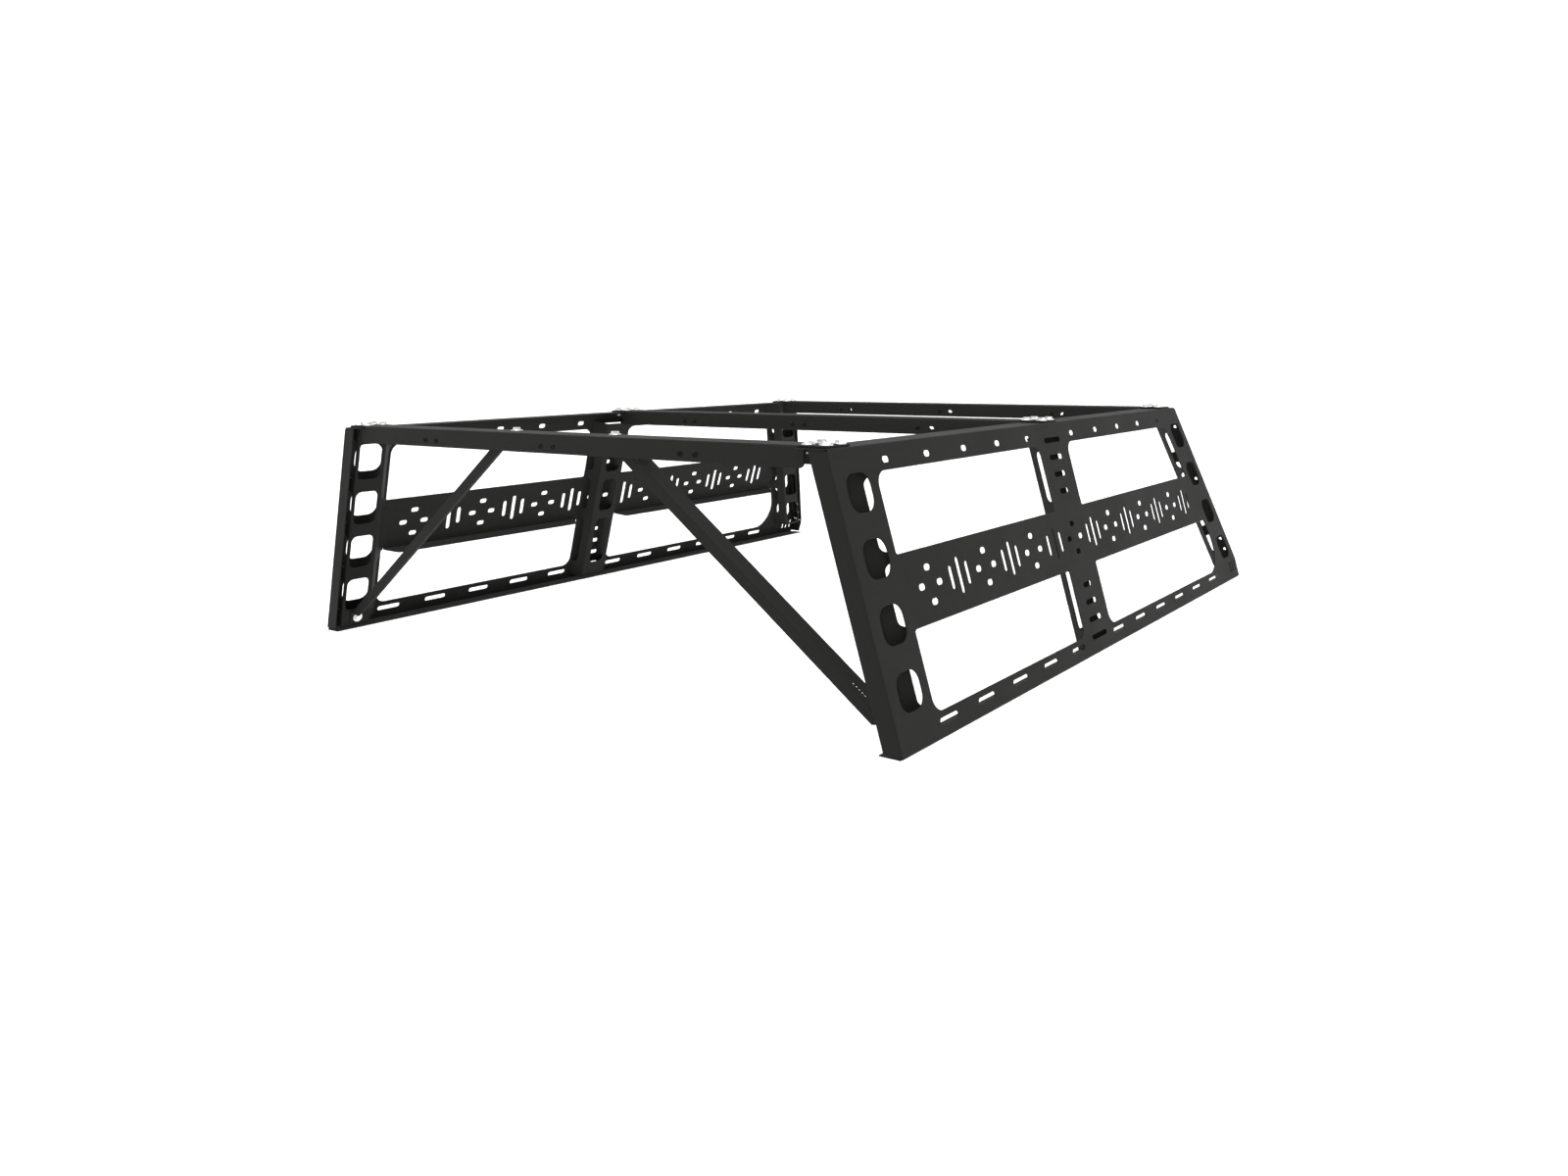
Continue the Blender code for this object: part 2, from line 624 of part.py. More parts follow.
def crossbar(station):
    name = f"crossbar_{STATIONS[station]}"
    y0 = BAR_REAR_FACES[station] - MID_LENGTH
    y1 = y0 + BAR_WIDTH
    holes = [circle(x, y, BOLT_HOLE_RADIUS) for _, side in SIDES for x, y in bolt_positions(station, side)]
    if station == 0:
        holes += [circle(side * BRACE_BOLT_X, BRACE_BOLT_Y, BOLT_HOLE_RADIUS) for _, side in SIDES]
    plate = slab(rectangle(-BAR_HALF_LENGTH, y0, BAR_HALF_LENGTH, y1), BAR_UNDERSIDE, BAR_TOP, holes)
    bar = place(name, plate, BLACK_COAT)
    outline, holes = bar_web()
    for label, start in (("rear", y0 + BAR_WALL_INSET), ("front", y1 - BAR_SHEET - BAR_WALL_INSET)):
        web = standing(slab(outline, start, start + BAR_SHEET, holes))
        combine(bar, place(f"{name}_{label}_wall", web), "UNION")


# ---- fasteners ----
def turned(name, profile, steps=12):
    """A round piece from (radius, height) pairs listed from its top to its bottom."""
    mesh = bpy.data.meshes.new(name)
    edges = [(i, i + 1) for i in range(len(profile) - 1)]
    mesh.from_pydata([(r, 0, z) for r, z in profile], edges, [])
    return mesh, steps


def place_turned(name, mesh_and_steps, matrix):
    mesh, steps = mesh_and_steps
    item = bpy.data.objects.new(name, mesh)
    PARTS.objects.link(item)
    if not mesh.materials:
        mesh.materials.append(ZINC)
    screw = item.modifiers.new("turn", "SCREW")
    screw.steps = steps
    screw.render_steps = steps
    screw.use_merge_vertices = True
    screw.merge_threshold = 0.0001
    item.matrix_world = matrix
    return item


def bolt_profile():
    return [(0, BOLT_HEAD_HEIGHT), (BOLT_HEAD_RADIUS, BOLT_HEAD_HEIGHT),
            (BOLT_HEAD_RADIUS, BOLT_FLANGE_HEIGHT), (BOLT_FLANGE_RADIUS, BOLT_FLANGE_HEIGHT),
            (BOLT_FLANGE_RADIUS, 0), (BOLT_SHANK_RADIUS, 0),
            (BOLT_SHANK_RADIUS, -BOLT_LENGTH), (0, -BOLT_LENGTH)]


def nut(name, matrix):
    """A plain ring whose bore clears the bolt's shank."""
    ring = slab(circle(0, 0, NUT_RADIUS, 6), -NUT_HEIGHT, 0, [circle(0, 0, NUT_BORE_RADIUS)])
    item = place(name, ring, ZINC)
    item.matrix_world = matrix


def crossbar_fasteners(station):
    bolt = turned("crossbar_bolt", bolt_profile())
    for side_name, side in SIDES:
        label = f"{STATIONS[station]}_{side_name}"
        positions = bolt_positions(station, side)
        for i, (x, y) in enumerate(positions):
            place_turned(f"bolt_{label}_{i + 1}", bolt, Matrix.Translation((x, y, BAR_TOP + GAP)))
        for row, pair in (("inner", positions[:2]), ("outer", positions[2:])):
            (x, y0), (_, y1) = pair
            outline = rectangle(x - STRIP_MARGIN, y0 - STRIP_MARGIN, x + STRIP_MARGIN, y1 + STRIP_MARGIN)
            top = PANEL_TOP_Z - SHEET - GAP
            strip = slab(outline, top - STRIP_THICKNESS, top,
                         [circle(x, y, BOLT_HOLE_RADIUS) for x, y in pair])
            place(f"backing_strip_{label}_{row}", strip, BLACK_COAT)


# ---- braces ----
def brace_points():
    """The brace's outer line in X and Z: top tab, long slope, toe along the upright's web."""
    top = BAR_UNDERSIDE - GAP
    slope = Vector((math.cos(BRACE_SLOPE), -math.sin(BRACE_SLOPE)))
    outward = Vector((math.sin(BRACE_SLOPE), math.cos(BRACE_SLOPE)))
    bend = Vector(((BRACE_LINE - outward.y * top) / outward.x, top))
    web_x = BOTTOM_HALF_WIDTH - (CHANNEL_DEPTH + GAP) / COS_LEAN
    tan_lean = SIN_LEAN / COS_LEAN
    toe_z = (BRACE_LINE - outward.x * web_x) / (outward.y - outward.x * tan_lean)
    toe = Vector((web_x - toe_z * tan_lean, toe_z))
    tip = toe + BRACE_TOE * Vector((SIN_LEAN, -COS_LEAN))
    return [bend - Vector((BRACE_TAB, 0)), bend, toe, tip], slope, -outward


BRACE_CORNERS, BRACE_DIRECTION, BRACE_INWARD = brace_points()
BRACE_BOLT_X = BRACE_CORNERS[1].x - BRACE_TAB_BOLT
BRACE_BOLT_Y = BRACE_REAR + BRACE_WIDTH / 2 - MID_LENGTH
BRACE_TOE_BOLT = (BRACE_CORNERS[2] + BRACE_CORNERS[3]) / 2


def mirrored(points, side):
    return [(side * x, z) for x, z in points]


def brace(side_name, side):
    name = f"brace_{side_name}"
    y0 = BRACE_REAR - MID_LENGTH
    tip_to_tab = [tuple(p) for p in reversed(BRACE_CORNERS)]
    leaf = standing(slab(mirrored(bent_strip(tip_to_tab, SHEET), side), y0, y0 + BRACE_WIDTH))
    item = place(name, leaf, BLACK_COAT)

    _, bend, toe, _ = BRACE_CORNERS
    along, inward = BRACE_DIRECTION, BRACE_INWARD * BRACE_FLANGE
    start, end = bend + along * SHEET * 2, toe - along * SHEET
    corners = [start, end, end - along * BRACE_FLANGE + inward, start + along * BRACE_FLANGE + inward]
    flange = standing(slab(mirrored([tuple(p) for p in corners], side), y0, y0 + SHEET))
    combine(item, place(f"{name}_flange", flange), "UNION")

    hole = BOLT_HOLE_RADIUS
    top_hole = slab(circle(side * BRACE_BOLT_X, BRACE_BOLT_Y, hole), BAR_UNDERSIDE - 3 * SHEET, BAR_TOP)
    combine(item, place(f"{name}_top_hole", top_hole), "DIFFERENCE")
    toe_hole = place(f"{name}_toe_hole", slab(circle(0, 0, hole), -TOE_HOLE_REACH, TOE_HOLE_REACH))
    toe_hole.matrix_world = toe_bolt_matrix(side)
    combine(item, toe_hole, "DIFFERENCE")
    for i in range(BRACE_DOT_COUNT):
        spot = toe - along * (BRACE_DOT_START + BRACE_DOT_PITCH * i)
        dot = place(f"{name}_dot_{i}", slab(circle(0, 0, BRACE_DOT_RADIUS), -2 * SHEET, 2 * SHEET))
        turn = Matrix.Rotation(side * (math.pi / 2 - BRACE_SLOPE), 4, "Y")
        dot.matrix_world = Matrix.Translation((side * spot.x, y0 + BRACE_DOT_FROM_EDGE, spot.y)) @ turn
        combine(item, dot, "DIFFERENCE")
    return toe_hole


def toe_bolt_matrix(side):
    """Local z points from the upright's web towards the inside of the rack."""
    normal = Vector((-side * COS_LEAN, 0, -SIN_LEAN))
    x, z = BRACE_TOE_BOLT
    turn = normal.to_track_quat("Z", "Y").to_matrix().to_4x4()
    return Matrix.Translation((side * x, BRACE_BOLT_Y, z)) @ turn


def brace_fasteners(side_name, side, rear_upright, toe_hole):
    top_bolt = turned("brace_bolt", bolt_profile())
    matrix = Matrix.Translation((side * BRACE_BOLT_X, BRACE_BOLT_Y, BAR_TOP + GAP))
    place_turned(f"brace_top_bolt_{side_name}", top_bolt, matrix)
    below = Matrix.Translation((side * BRACE_BOLT_X, BRACE_BOLT_Y, BAR_UNDERSIDE - SHEET - 2 * GAP))
    nut(f"brace_top_nut_{side_name}", below)

    combine(rear_upright, toe_hole, "DIFFERENCE")
    base = toe_bolt_matrix(side)
    head = base @ Matrix.Translation((0, 0, SHEET + GAP))
    place_turned(f"brace_toe_bolt_{side_name}", top_bolt, head)
    nut(f"brace_toe_nut_{side_name}", base @ Matrix.Translation((0, 0, -SHEET - 2 * GAP)))


for side_title, side_sign in SIDES:
    panel_empty = panel_frame(side_title, side_sign)
    bpy.context.view_layer.update()
    side_panel(side_title, side_sign, panel_empty)
    rear_channel = uprights(side_title, side_sign, panel_empty)
    toe_cutter = brace(side_title, side_sign)
    brace_fasteners(side_title, side_sign, rear_channel, toe_cutter)
for bar_station in range(len(STATIONS)):
    crossbar(bar_station)
    crossbar_fasteners(bar_station)
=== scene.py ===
import math

import bmesh
import bpy
from mathutils import Matrix, Vector

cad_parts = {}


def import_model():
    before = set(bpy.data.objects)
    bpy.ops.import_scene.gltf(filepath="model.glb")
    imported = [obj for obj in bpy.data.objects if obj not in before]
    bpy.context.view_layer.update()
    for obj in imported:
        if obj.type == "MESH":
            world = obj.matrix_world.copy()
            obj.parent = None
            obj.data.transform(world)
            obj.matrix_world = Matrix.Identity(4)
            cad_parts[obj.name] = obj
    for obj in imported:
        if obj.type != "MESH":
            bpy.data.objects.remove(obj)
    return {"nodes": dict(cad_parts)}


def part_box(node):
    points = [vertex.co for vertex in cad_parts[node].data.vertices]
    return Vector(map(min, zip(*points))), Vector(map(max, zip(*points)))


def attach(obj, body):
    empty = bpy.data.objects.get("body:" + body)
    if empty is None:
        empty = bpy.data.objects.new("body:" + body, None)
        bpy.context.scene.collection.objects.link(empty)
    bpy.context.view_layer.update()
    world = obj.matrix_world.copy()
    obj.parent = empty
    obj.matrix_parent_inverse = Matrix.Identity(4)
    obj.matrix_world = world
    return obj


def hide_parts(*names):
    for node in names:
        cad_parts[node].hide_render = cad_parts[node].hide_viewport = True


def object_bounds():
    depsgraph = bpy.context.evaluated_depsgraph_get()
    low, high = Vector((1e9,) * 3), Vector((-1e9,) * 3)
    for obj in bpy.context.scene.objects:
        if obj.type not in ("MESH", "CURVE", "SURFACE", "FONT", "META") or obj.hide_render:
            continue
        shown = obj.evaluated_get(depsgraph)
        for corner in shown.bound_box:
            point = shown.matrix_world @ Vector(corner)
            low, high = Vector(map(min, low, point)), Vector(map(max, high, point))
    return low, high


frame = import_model()
cad_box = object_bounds()


# ---- materials ----
def new_shader(name):
    material = bpy.data.materials.new(name)
    material.use_nodes = True
    return material, material.node_tree.nodes, material.node_tree.links


def noise(nodes, links, scale, detail, source):
    texture = nodes.new("ShaderNodeTexNoise")
    texture.inputs["Scale"].default_value = scale
    texture.inputs["Detail"].default_value = detail
    links.new(source.outputs["Object"], texture.inputs["Vector"])
    return texture


def ramp(nodes, links, source, low, high, low_value, high_value):
    """Map part of a value's range to another range."""
    mapping = nodes.new("ShaderNodeMapRange")
    mapping.inputs["From Min"].default_value = low
    mapping.inputs["From Max"].default_value = high
    mapping.inputs["To Min"].default_value = low_value
    mapping.inputs["To Max"].default_value = high_value
    links.new(source, mapping.inputs["Value"])
    return mapping.outputs["Result"]


def mix_colour(nodes, links, factor, dark, light):
    tint = nodes.new("ShaderNodeMix")
    tint.data_type = "RGBA"
    tint.inputs["A"].default_value = (*dark, 1)
    tint.inputs["B"].default_value = (*light, 1)
    links.new(factor, tint.inputs["Factor"])
    return tint.outputs["Result"]


def edge_wear(nodes, links, place, radius):
    """A mask of exposed edges: where a rounded normal leaves the true one, broken up by noise."""
    rounded = nodes.new("ShaderNodeBevel")
    rounded.samples = 4
    rounded.inputs["Radius"].default_value = radius
    geometry = nodes.new("ShaderNodeNewGeometry")
    dot = nodes.new("ShaderNodeVectorMath")
    dot.operation = "DOT_PRODUCT"
    links.new(rounded.outputs["Normal"], dot.inputs[0])
    links.new(geometry.outputs["True Normal"], dot.inputs[1])
    edge = ramp(nodes, links, dot.outputs["Value"], *EDGE_RANGE, 0, 1)
    chips = noise(nodes, links, CHIP_SCALE, 6, place)
    broken = ramp(nodes, links, chips.outputs["Fac"], *CHIP_RANGE, 0, 1)
    wear = nodes.new("ShaderNodeMath")
    wear.operation = "MULTIPLY"
    links.new(edge, wear.inputs[0])
    links.new(broken, wear.inputs[1])
    return wear.outputs["Value"], rounded.outputs["Normal"]


def powder_coat():
    """Black textured powder coat: fine orange peel, faint handling marks, slightly worn edges."""
    material, nodes, links = new_shader("black_powder_coat")
    shader = nodes["Principled BSDF"]
    place = nodes.new("ShaderNodeTexCoord")
    smudge = noise(nodes, links, SMUDGE_SCALE, 5, place)
    grain = noise(nodes, links, GRAIN_SCALE, 4, place)
    peel = noise(nodes, links, PEEL_SCALE, 2, place)
    wear, edge_normal = edge_wear(nodes, links, place, WORN_EDGE)
    coat = mix_colour(nodes, links, smudge.outputs["Fac"], COAT_DARK, COAT_LIGHT)
    worn = nodes.new("ShaderNodeMix")
    worn.data_type = "RGBA"
    worn.inputs["B"].default_value = (*COAT_WORN, 1)
    links.new(coat, worn.inputs["A"])
    links.new(wear, worn.inputs["Factor"])
    links.new(worn.outputs["Result"], shader.inputs["Base Color"])
    rough = ramp(nodes, links, smudge.outputs["Fac"], *NOISE_RANGE, *COAT_ROUGHNESS)
    links.new(rough, shader.inputs["Roughness"])
    shader.inputs["Specular IOR Level"].default_value = COAT_SPECULAR
    normal = edge_normal
    for source, strength, distance in ((grain, *GRAIN_BUMP), (peel, *PEEL_BUMP)):
        bump = nodes.new("ShaderNodeBump")
        bump.inputs["Strength"].default_value = strength
        bump.inputs["Distance"].default_value = distance
        links.new(source.outputs["Fac"], bump.inputs["Height"])
        links.new(normal, bump.inputs["Normal"])
        normal = bump.outputs["Normal"]
    links.new(normal, shader.inputs["Normal"])
    return material


def zinc_plate():
    """Bright zinc plating with faint cloudy passivation."""
    material, nodes, links = new_shader("zinc_plate")
    shader = nodes["Principled BSDF"]
    shader.inputs["Metallic"].default_value = 1
    place = nodes.new("ShaderNodeTexCoord")
    cloud = noise(nodes, links, CLOUD_SCALE, 3, place)
    colour = mix_colour(nodes, links, cloud.outputs["Fac"], ZINC_DARK, ZINC_LIGHT)
    links.new(colour, shader.inputs["Base Color"])
    rough = ramp(nodes, links, cloud.outputs["Fac"], *NOISE_RANGE, *ZINC_ROUGHNESS)
    links.new(rough, shader.inputs["Roughness"])
    bump = nodes.new("ShaderNodeBump")
    bump.inputs["Strength"].default_value, bump.inputs["Distance"].default_value = CLOUD_BUMP
    links.new(cloud.outputs["Fac"], bump.inputs["Height"])
    links.new(bump.outputs["Normal"], shader.inputs["Normal"])
    return material


COAT_DARK = (0.0075, 0.0075, 0.0070)
COAT_LIGHT = (0.0115, 0.0115, 0.0107)
COAT_WORN = (0.035, 0.035, 0.033)
COAT_ROUGHNESS = (0.60, 0.70)
COAT_SPECULAR = 0.12
ZINC_DARK = (0.66, 0.66, 0.65)
ZINC_LIGHT = (0.86, 0.86, 0.84)
ZINC_ROUGHNESS = (0.25, 0.4)
NOISE_RANGE = (0.3, 0.7)
EDGE_RANGE = (0.98, 0.80)
CHIP_RANGE = (0.45, 0.75)
WORN_EDGE = 0.0015
# noise scales, in cycles to a metre, and bumps as (strength, height in metres)
CHIP_SCALE, SMUDGE_SCALE, GRAIN_SCALE, PEEL_SCALE, CLOUD_SCALE = 60, 7, 900, 260, 300
GRAIN_BUMP = (0.12, 0.0002)
PEEL_BUMP = (0.15, 0.0004)
CLOUD_BUMP = (0.1, 0.0001)
COAT = powder_coat()
ZINC = zinc_plate()

for name, node in frame["nodes"].items():
    zinc = "bolt" in name or "nut" in name
    for slot in node.material_slots:
        slot.material = ZINC if zinc else COAT


# ---- fasteners ----
HEX_SMOOTHING = 32
SHEET_SMOOTHING = 38


def ring_mesh(name, rings):
    """A closed skin over rings of equally many points; the ends are capped."""
    count = len(rings[0])
    verts = [point for ring in rings for point in ring]
    faces = []
    for i in range(len(rings) - 1):
        for j in range(count):
            k = (j + 1) % count
            faces.append((i * count + j, i * count + k, (i + 1) * count + k, (i + 1) * count + j))
    faces.append(tuple(reversed(range(count))))
    faces.append(tuple(range((len(rings) - 1) * count, len(rings) * count)))
    mesh = bpy.data.meshes.new(name)
    mesh.from_pydata(verts, [], faces)
    return mesh


def finished(mesh, angle=HEX_SMOOTHING):
    """Face the skin outward and shade it smooth except along its real edges."""
    work = bmesh.new()
    work.from_mesh(mesh)
    bmesh.ops.recalc_face_normals(work, faces=work.faces)
    work.to_mesh(mesh)
    work.free()
    mesh.shade_smooth()
    mesh.set_sharp_from_angle(angle=math.radians(angle))
    return mesh


def hex_radius(angle, flats):
    """Distance from a hexagon's centre to its side in a direction."""
    return flats / 2 / math.cos(angle % (math.pi / 3) - math.pi / 6)


def round_ring(radius, height):
    return [(radius * math.cos(a), radius * math.sin(a), height) for a in ANGLES]


def hex_ring(flats, height, chamfer=0.0):
    """A hexagonal ring; a 30 degree chamfer draws its corners down (or up, if negative)."""
    ring = []
    for a in ANGLES:
        r = hex_radius(a, flats)
        drop = chamfer * max(0.0, r - CHAMFER_SHARE * flats / 2)
        ring.append((r * math.cos(a), r * math.sin(a), height - drop))
    return ring


def thread_rings(low, high):
    """Rings down a threaded shank, from high to low; the crest winds round as it descends."""
    count = round((high - low) / THREAD_PITCH * THREAD_STEPS)
    rings = []
    for i in range(count + 1):
        z = high - (high - low) * i / count
        ring = []
        for a in ANGLES:
            turn = (z / THREAD_PITCH - a / (2 * math.pi)) % 1.0
            depth = THREAD_DEPTH * (1 - abs(2 * turn - 1))
            r = SHANK_RADIUS - depth
            ring.append((r * math.cos(a), r * math.sin(a), z))
        rings.append(ring)
    return rings


def bolt_mesh():
    """A hex bolt with a captive flat washer; its seat is at height 0 and its shank hangs below."""
    cap = CHAMFER_SHARE * HEX_FLATS / 2
    rings = [round_ring(cap * DISH_FLOOR, HEAD_HEIGHT - DISH), round_ring(cap * DISH_RIM, HEAD_HEIGHT),
             round_ring(cap, HEAD_HEIGHT),
             hex_ring(HEX_FLATS, HEAD_HEIGHT, CHAMFER_SLOPE),
             hex_ring(HEX_FLATS, WASHER_THICKNESS + EDGE),
             round_ring(HEX_FLATS * NECK_SHARE, WASHER_THICKNESS),
             round_ring(WASHER_RADIUS - EDGE, WASHER_THICKNESS),
             round_ring(WASHER_RADIUS, WASHER_THICKNESS - EDGE),
             round_ring(WASHER_RADIUS, EDGE), round_ring(WASHER_RADIUS - EDGE, 0),
             round_ring(SHANK_RADIUS, 0), round_ring(SHANK_RADIUS, -PLAIN_SHANK)]
    rings += thread_rings(-BOLT_LENGTH + SHANK_TIP, -PLAIN_SHANK - SHANK_TIP / 2)
    rings.append(round_ring(SHANK_RADIUS - SHANK_TIP, -BOLT_LENGTH))
    return finished(ring_mesh("hex_bolt", rings))


def nut_mesh():
    """A hex nut chamfered on both faces, its bore closed onto itself; its top is at height 0."""
    cap = CHAMFER_SHARE * HEX_FLATS / 2
    low = -NUT_HEIGHT
    rings = [round_ring(BORE_RADIUS, -BORE_CHAMFER), round_ring(BORE_RADIUS + BORE_CHAMFER, 0),
             round_ring(cap, 0), hex_ring(HEX_FLATS, 0, CHAMFER_SLOPE),
             hex_ring(HEX_FLATS, low, -CHAMFER_SLOPE), round_ring(cap, low),
             round_ring(BORE_RADIUS + BORE_CHAMFER, low), round_ring(BORE_RADIUS, low + BORE_CHAMFER)]
    mesh = ring_mesh("hex_nut", rings)
    work = bmesh.new()
    work.from_mesh(mesh)
    caps = [f for f in work.faces if len(f.verts) > 4]
    edges = [e for f in caps for e in f.edges]
    bmesh.ops.delete(work, geom=caps, context="FACES_ONLY")
    bmesh.ops.bridge_loops(work, edges=[e for e in edges if e.is_valid])
    work.to_mesh(mesh)
    work.free()
    return finished(mesh)


SEGMENTS = 36
ANGLES = [2 * math.pi * i / SEGMENTS for i in range(SEGMENTS)]
HEX_FLATS = 0.013
CHAMFER_SHARE = 0.96
CHAMFER_SLOPE = math.tan(math.radians(30))
WASHER_RADIUS = 0.0108
WASHER_THICKNESS = 0.0016
HEAD_HEIGHT = 0.006
DISH = 0.0004
DISH_FLOOR, DISH_RIM = 0.55, 0.7
NECK_SHARE = 0.48
SPIN_STEP = 0.7
EDGE = 0.0003
SHANK_RADIUS = 0.0039
SHANK_TIP = 0.0008
PLAIN_SHANK = 0.004
BOLT_LENGTH = 0.013
THREAD_PITCH = 0.00125
THREAD_DEPTH = 0.0006
THREAD_STEPS = 6
NUT_HEIGHT = 0.006
BORE_RADIUS = 0.0042
BORE_CHAMFER = 0.0005
LEAN = math.radians(16.87)


def add_piece(name, mesh, material, nodes, matrix=None):
    """A visual piece that rides on the rack's one body and stands for CAD nodes."""
    if not mesh.materials:
        mesh.materials.append(material)
    item = bpy.data.objects.new(name, mesh)
    bpy.context.scene.collection.objects.link(item)
    if matrix is not None:
        item.matrix_world = matrix
    bpy.context.view_layer.update()
    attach(item, "root")
    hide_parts(*nodes)
    return item


def tilted_place(low, high, height, radius):
    """Where a fastener square to the leaning upright sits, from its CAD box; local z points inward."""
    side = 1 if low[0] > 0 else -1
    inner = low[0] if side > 0 else high[0]
    x = inner + side * (height * math.cos(LEAN) + radius * math.sin(LEAN))
    z = low[2] + height * math.sin(LEAN) + radius * math.cos(LEAN)
    normal = Vector((-side * math.cos(LEAN), 0, -math.sin(LEAN)))
    turn = normal.to_track_quat("Z", "Y").to_matrix().to_4x4()
    return Matrix.Translation((x, (low[1] + high[1]) / 2, z)) @ turn


def fasteners():
    bolt, nut = bolt_mesh(), nut_mesh()
    turn = 0.0
    for name in sorted(frame["nodes"]):
        if "bolt" not in name and "nut" not in name:
            continue
        low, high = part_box(name)
        turn += SPIN_STEP
        mesh, height = (bolt, HEAD_HEIGHT) if "bolt" in name else (nut, 0)
        if "toe" in name:
            matrix = tilted_place(low, high, height, CAD_RADIUS["nut" if mesh is nut else "bolt"])
        else:
            middle = [(a + b) / 2 for a, b in zip(low, high)]
            matrix = Matrix.Translation((middle[0], middle[1], high[2] - height))
        spin = Matrix.Rotation(turn, 4, "Z")
        add_piece(f"fine_{name}", mesh, ZINC, [name], matrix @ spin)


CAD_RADIUS = {"bolt": 0.0108, "nut": 0.0074}
fasteners()


# ---- folded sheet ----
SMALL_RADIUS = 0.005
ROUND_STEPS = 16


def arc(centre, radius, start, end, steps):
    angles = (start + (end - start) * i / steps for i in range(steps + 1))
    return [(centre[0] + radius * math.cos(a), centre[1] + radius * math.sin(a)) for a in angles]


def rounded(corners, radii):
    """A polygon with each corner rounded by its own radius."""
    points = []
    count = len(corners)
    for i, corner in enumerate(corners):
        here = Vector(corner)
        if radii[i] == 0:
            points.append(tuple(here))
            continue
        before = (Vector(corners[i - 1]) - here).normalized()
        after = (Vector(corners[(i + 1) % count]) - here).normalized()
        half = before.angle(after) / 2
        centre = here + (before + after).normalized() * radii[i] / math.sin(half)
        first = here + before * radii[i] / math.tan(half) - centre
        last = here + after * radii[i] / math.tan(half) - centre
        start = math.atan2(first.y, first.x)
        sweep = math.atan2(last.y, last.x) - start
        sweep -= 2 * math.pi * round(sweep / (2 * math.pi))
        steps = 4 if radii[i] < SMALL_RADIUS else 10
        points += arc(centre, radii[i], start, start + sweep, steps)
    return points


def small_hole(centre, radius):
    return arc(centre, radius, 0, 2 * math.pi * (ROUND_STEPS - 1) / ROUND_STEPS, ROUND_STEPS - 1)


def rectangle(x0, y0, x1, y1):
    return [(x0, y0), (x1, y0), (x1, y1), (x0, y1)]


def obround(cx, cy, length, height, steps=8):
    """A slot with round ends, lying along its longer side."""
    radius = min(length, height) / 2
    reach = abs(length - height) / 2
    if length >= height:
        right = arc((cx + reach, cy), radius, -math.pi / 2, math.pi / 2, steps)
        return right + arc((cx - reach, cy), radius, math.pi / 2, 3 * math.pi / 2, steps)
    top = arc((cx, cy + reach), radius, 0, math.pi, steps)
    return top + arc((cx, cy - reach), radius, math.pi, 2 * math.pi, steps)


def fold(e, offset, angle, radius):
    """Where a point of a sheet lies e past the start of a bend: (reach outward, depth inward)."""
    turn = min(max(e / radius, 0.0), angle)
    before = min(e, 0.0)
    after = max(e - angle * radius, 0.0)
    r = radius - offset
    outward = before + r * math.sin(turn) + after * math.cos(turn)
    return outward, radius - r * math.cos(turn) + after * math.sin(turn)


def bend_length(angle, radius, length):
    """Flat length, from a bend's start, of a flange whose far edge is length from the apex."""
    return radius * angle + length - radius * math.tan(angle / 2)


def flat_pattern(name, outline, holes):
    curve = bpy.data.curves.new(name, "CURVE")
    curve.dimensions = "2D"
    curve.fill_mode = "BOTH"
    for loop in [outline] + holes:
        spline = curve.splines.new("POLY")
        spline.points.add(len(loop) - 1)
        spline.use_cyclic_u = True
        for point, (x, y) in zip(spline.points, loop):
            point.co = (x, y, 0, 1)
    item = bpy.data.objects.new(name, curve)
    bpy.context.scene.collection.objects.link(item)
    graph = bpy.context.evaluated_depsgraph_get()
    mesh = bpy.data.meshes.new_from_object(item.evaluated_get(graph))
    bpy.data.objects.remove(item)
    return mesh


def folded_sheet(name, outline, holes, cuts, place, thickness):
    """Cut a flat pattern along its bends, then give it two skins by place(x, y, offset)."""
    flat = bmesh.new()
    flat.from_mesh(flat_pattern(name, outline, holes))
    bmesh.ops.remove_doubles(flat, verts=flat.verts, dist=1e-5)
    for (x, y), (nx, ny) in cuts:
        everything = flat.verts[:] + flat.edges[:] + flat.faces[:]
        bmesh.ops.bisect_plane(flat, geom=everything, dist=1e-6,
                               plane_co=(x, y, 0), plane_no=(nx, ny, 0))
    flat.verts.index_update()
    count = len(flat.verts)
    verts = [place(v.co.x, v.co.y, 0.0) for v in flat.verts]
    verts += [place(v.co.x, v.co.y, thickness) for v in flat.verts]
    faces = [[v.index for v in f.verts] for f in flat.faces]
    faces += [[i + count for i in reversed(face)] for face in faces]
    for edge in flat.edges:
        if len(edge.link_faces) == 1:
            loop = edge.link_loops[0]
            a, b = loop.vert.index, loop.link_loop_next.vert.index
            faces.append([b, a, a + count, b + count])
    flat.free()
    mesh = bpy.data.meshes.new(name)
    mesh.from_pydata(verts, [], faces)
    return finished(mesh, SHEET_SMOOTHING)


def add_sheet(name, mesh, nodes):
    item = add_piece(name, mesh, COAT, nodes)
    weighted = item.modifiers.new("flat faces", "WEIGHTED_NORMAL")
    weighted.keep_sharp = True
    return item


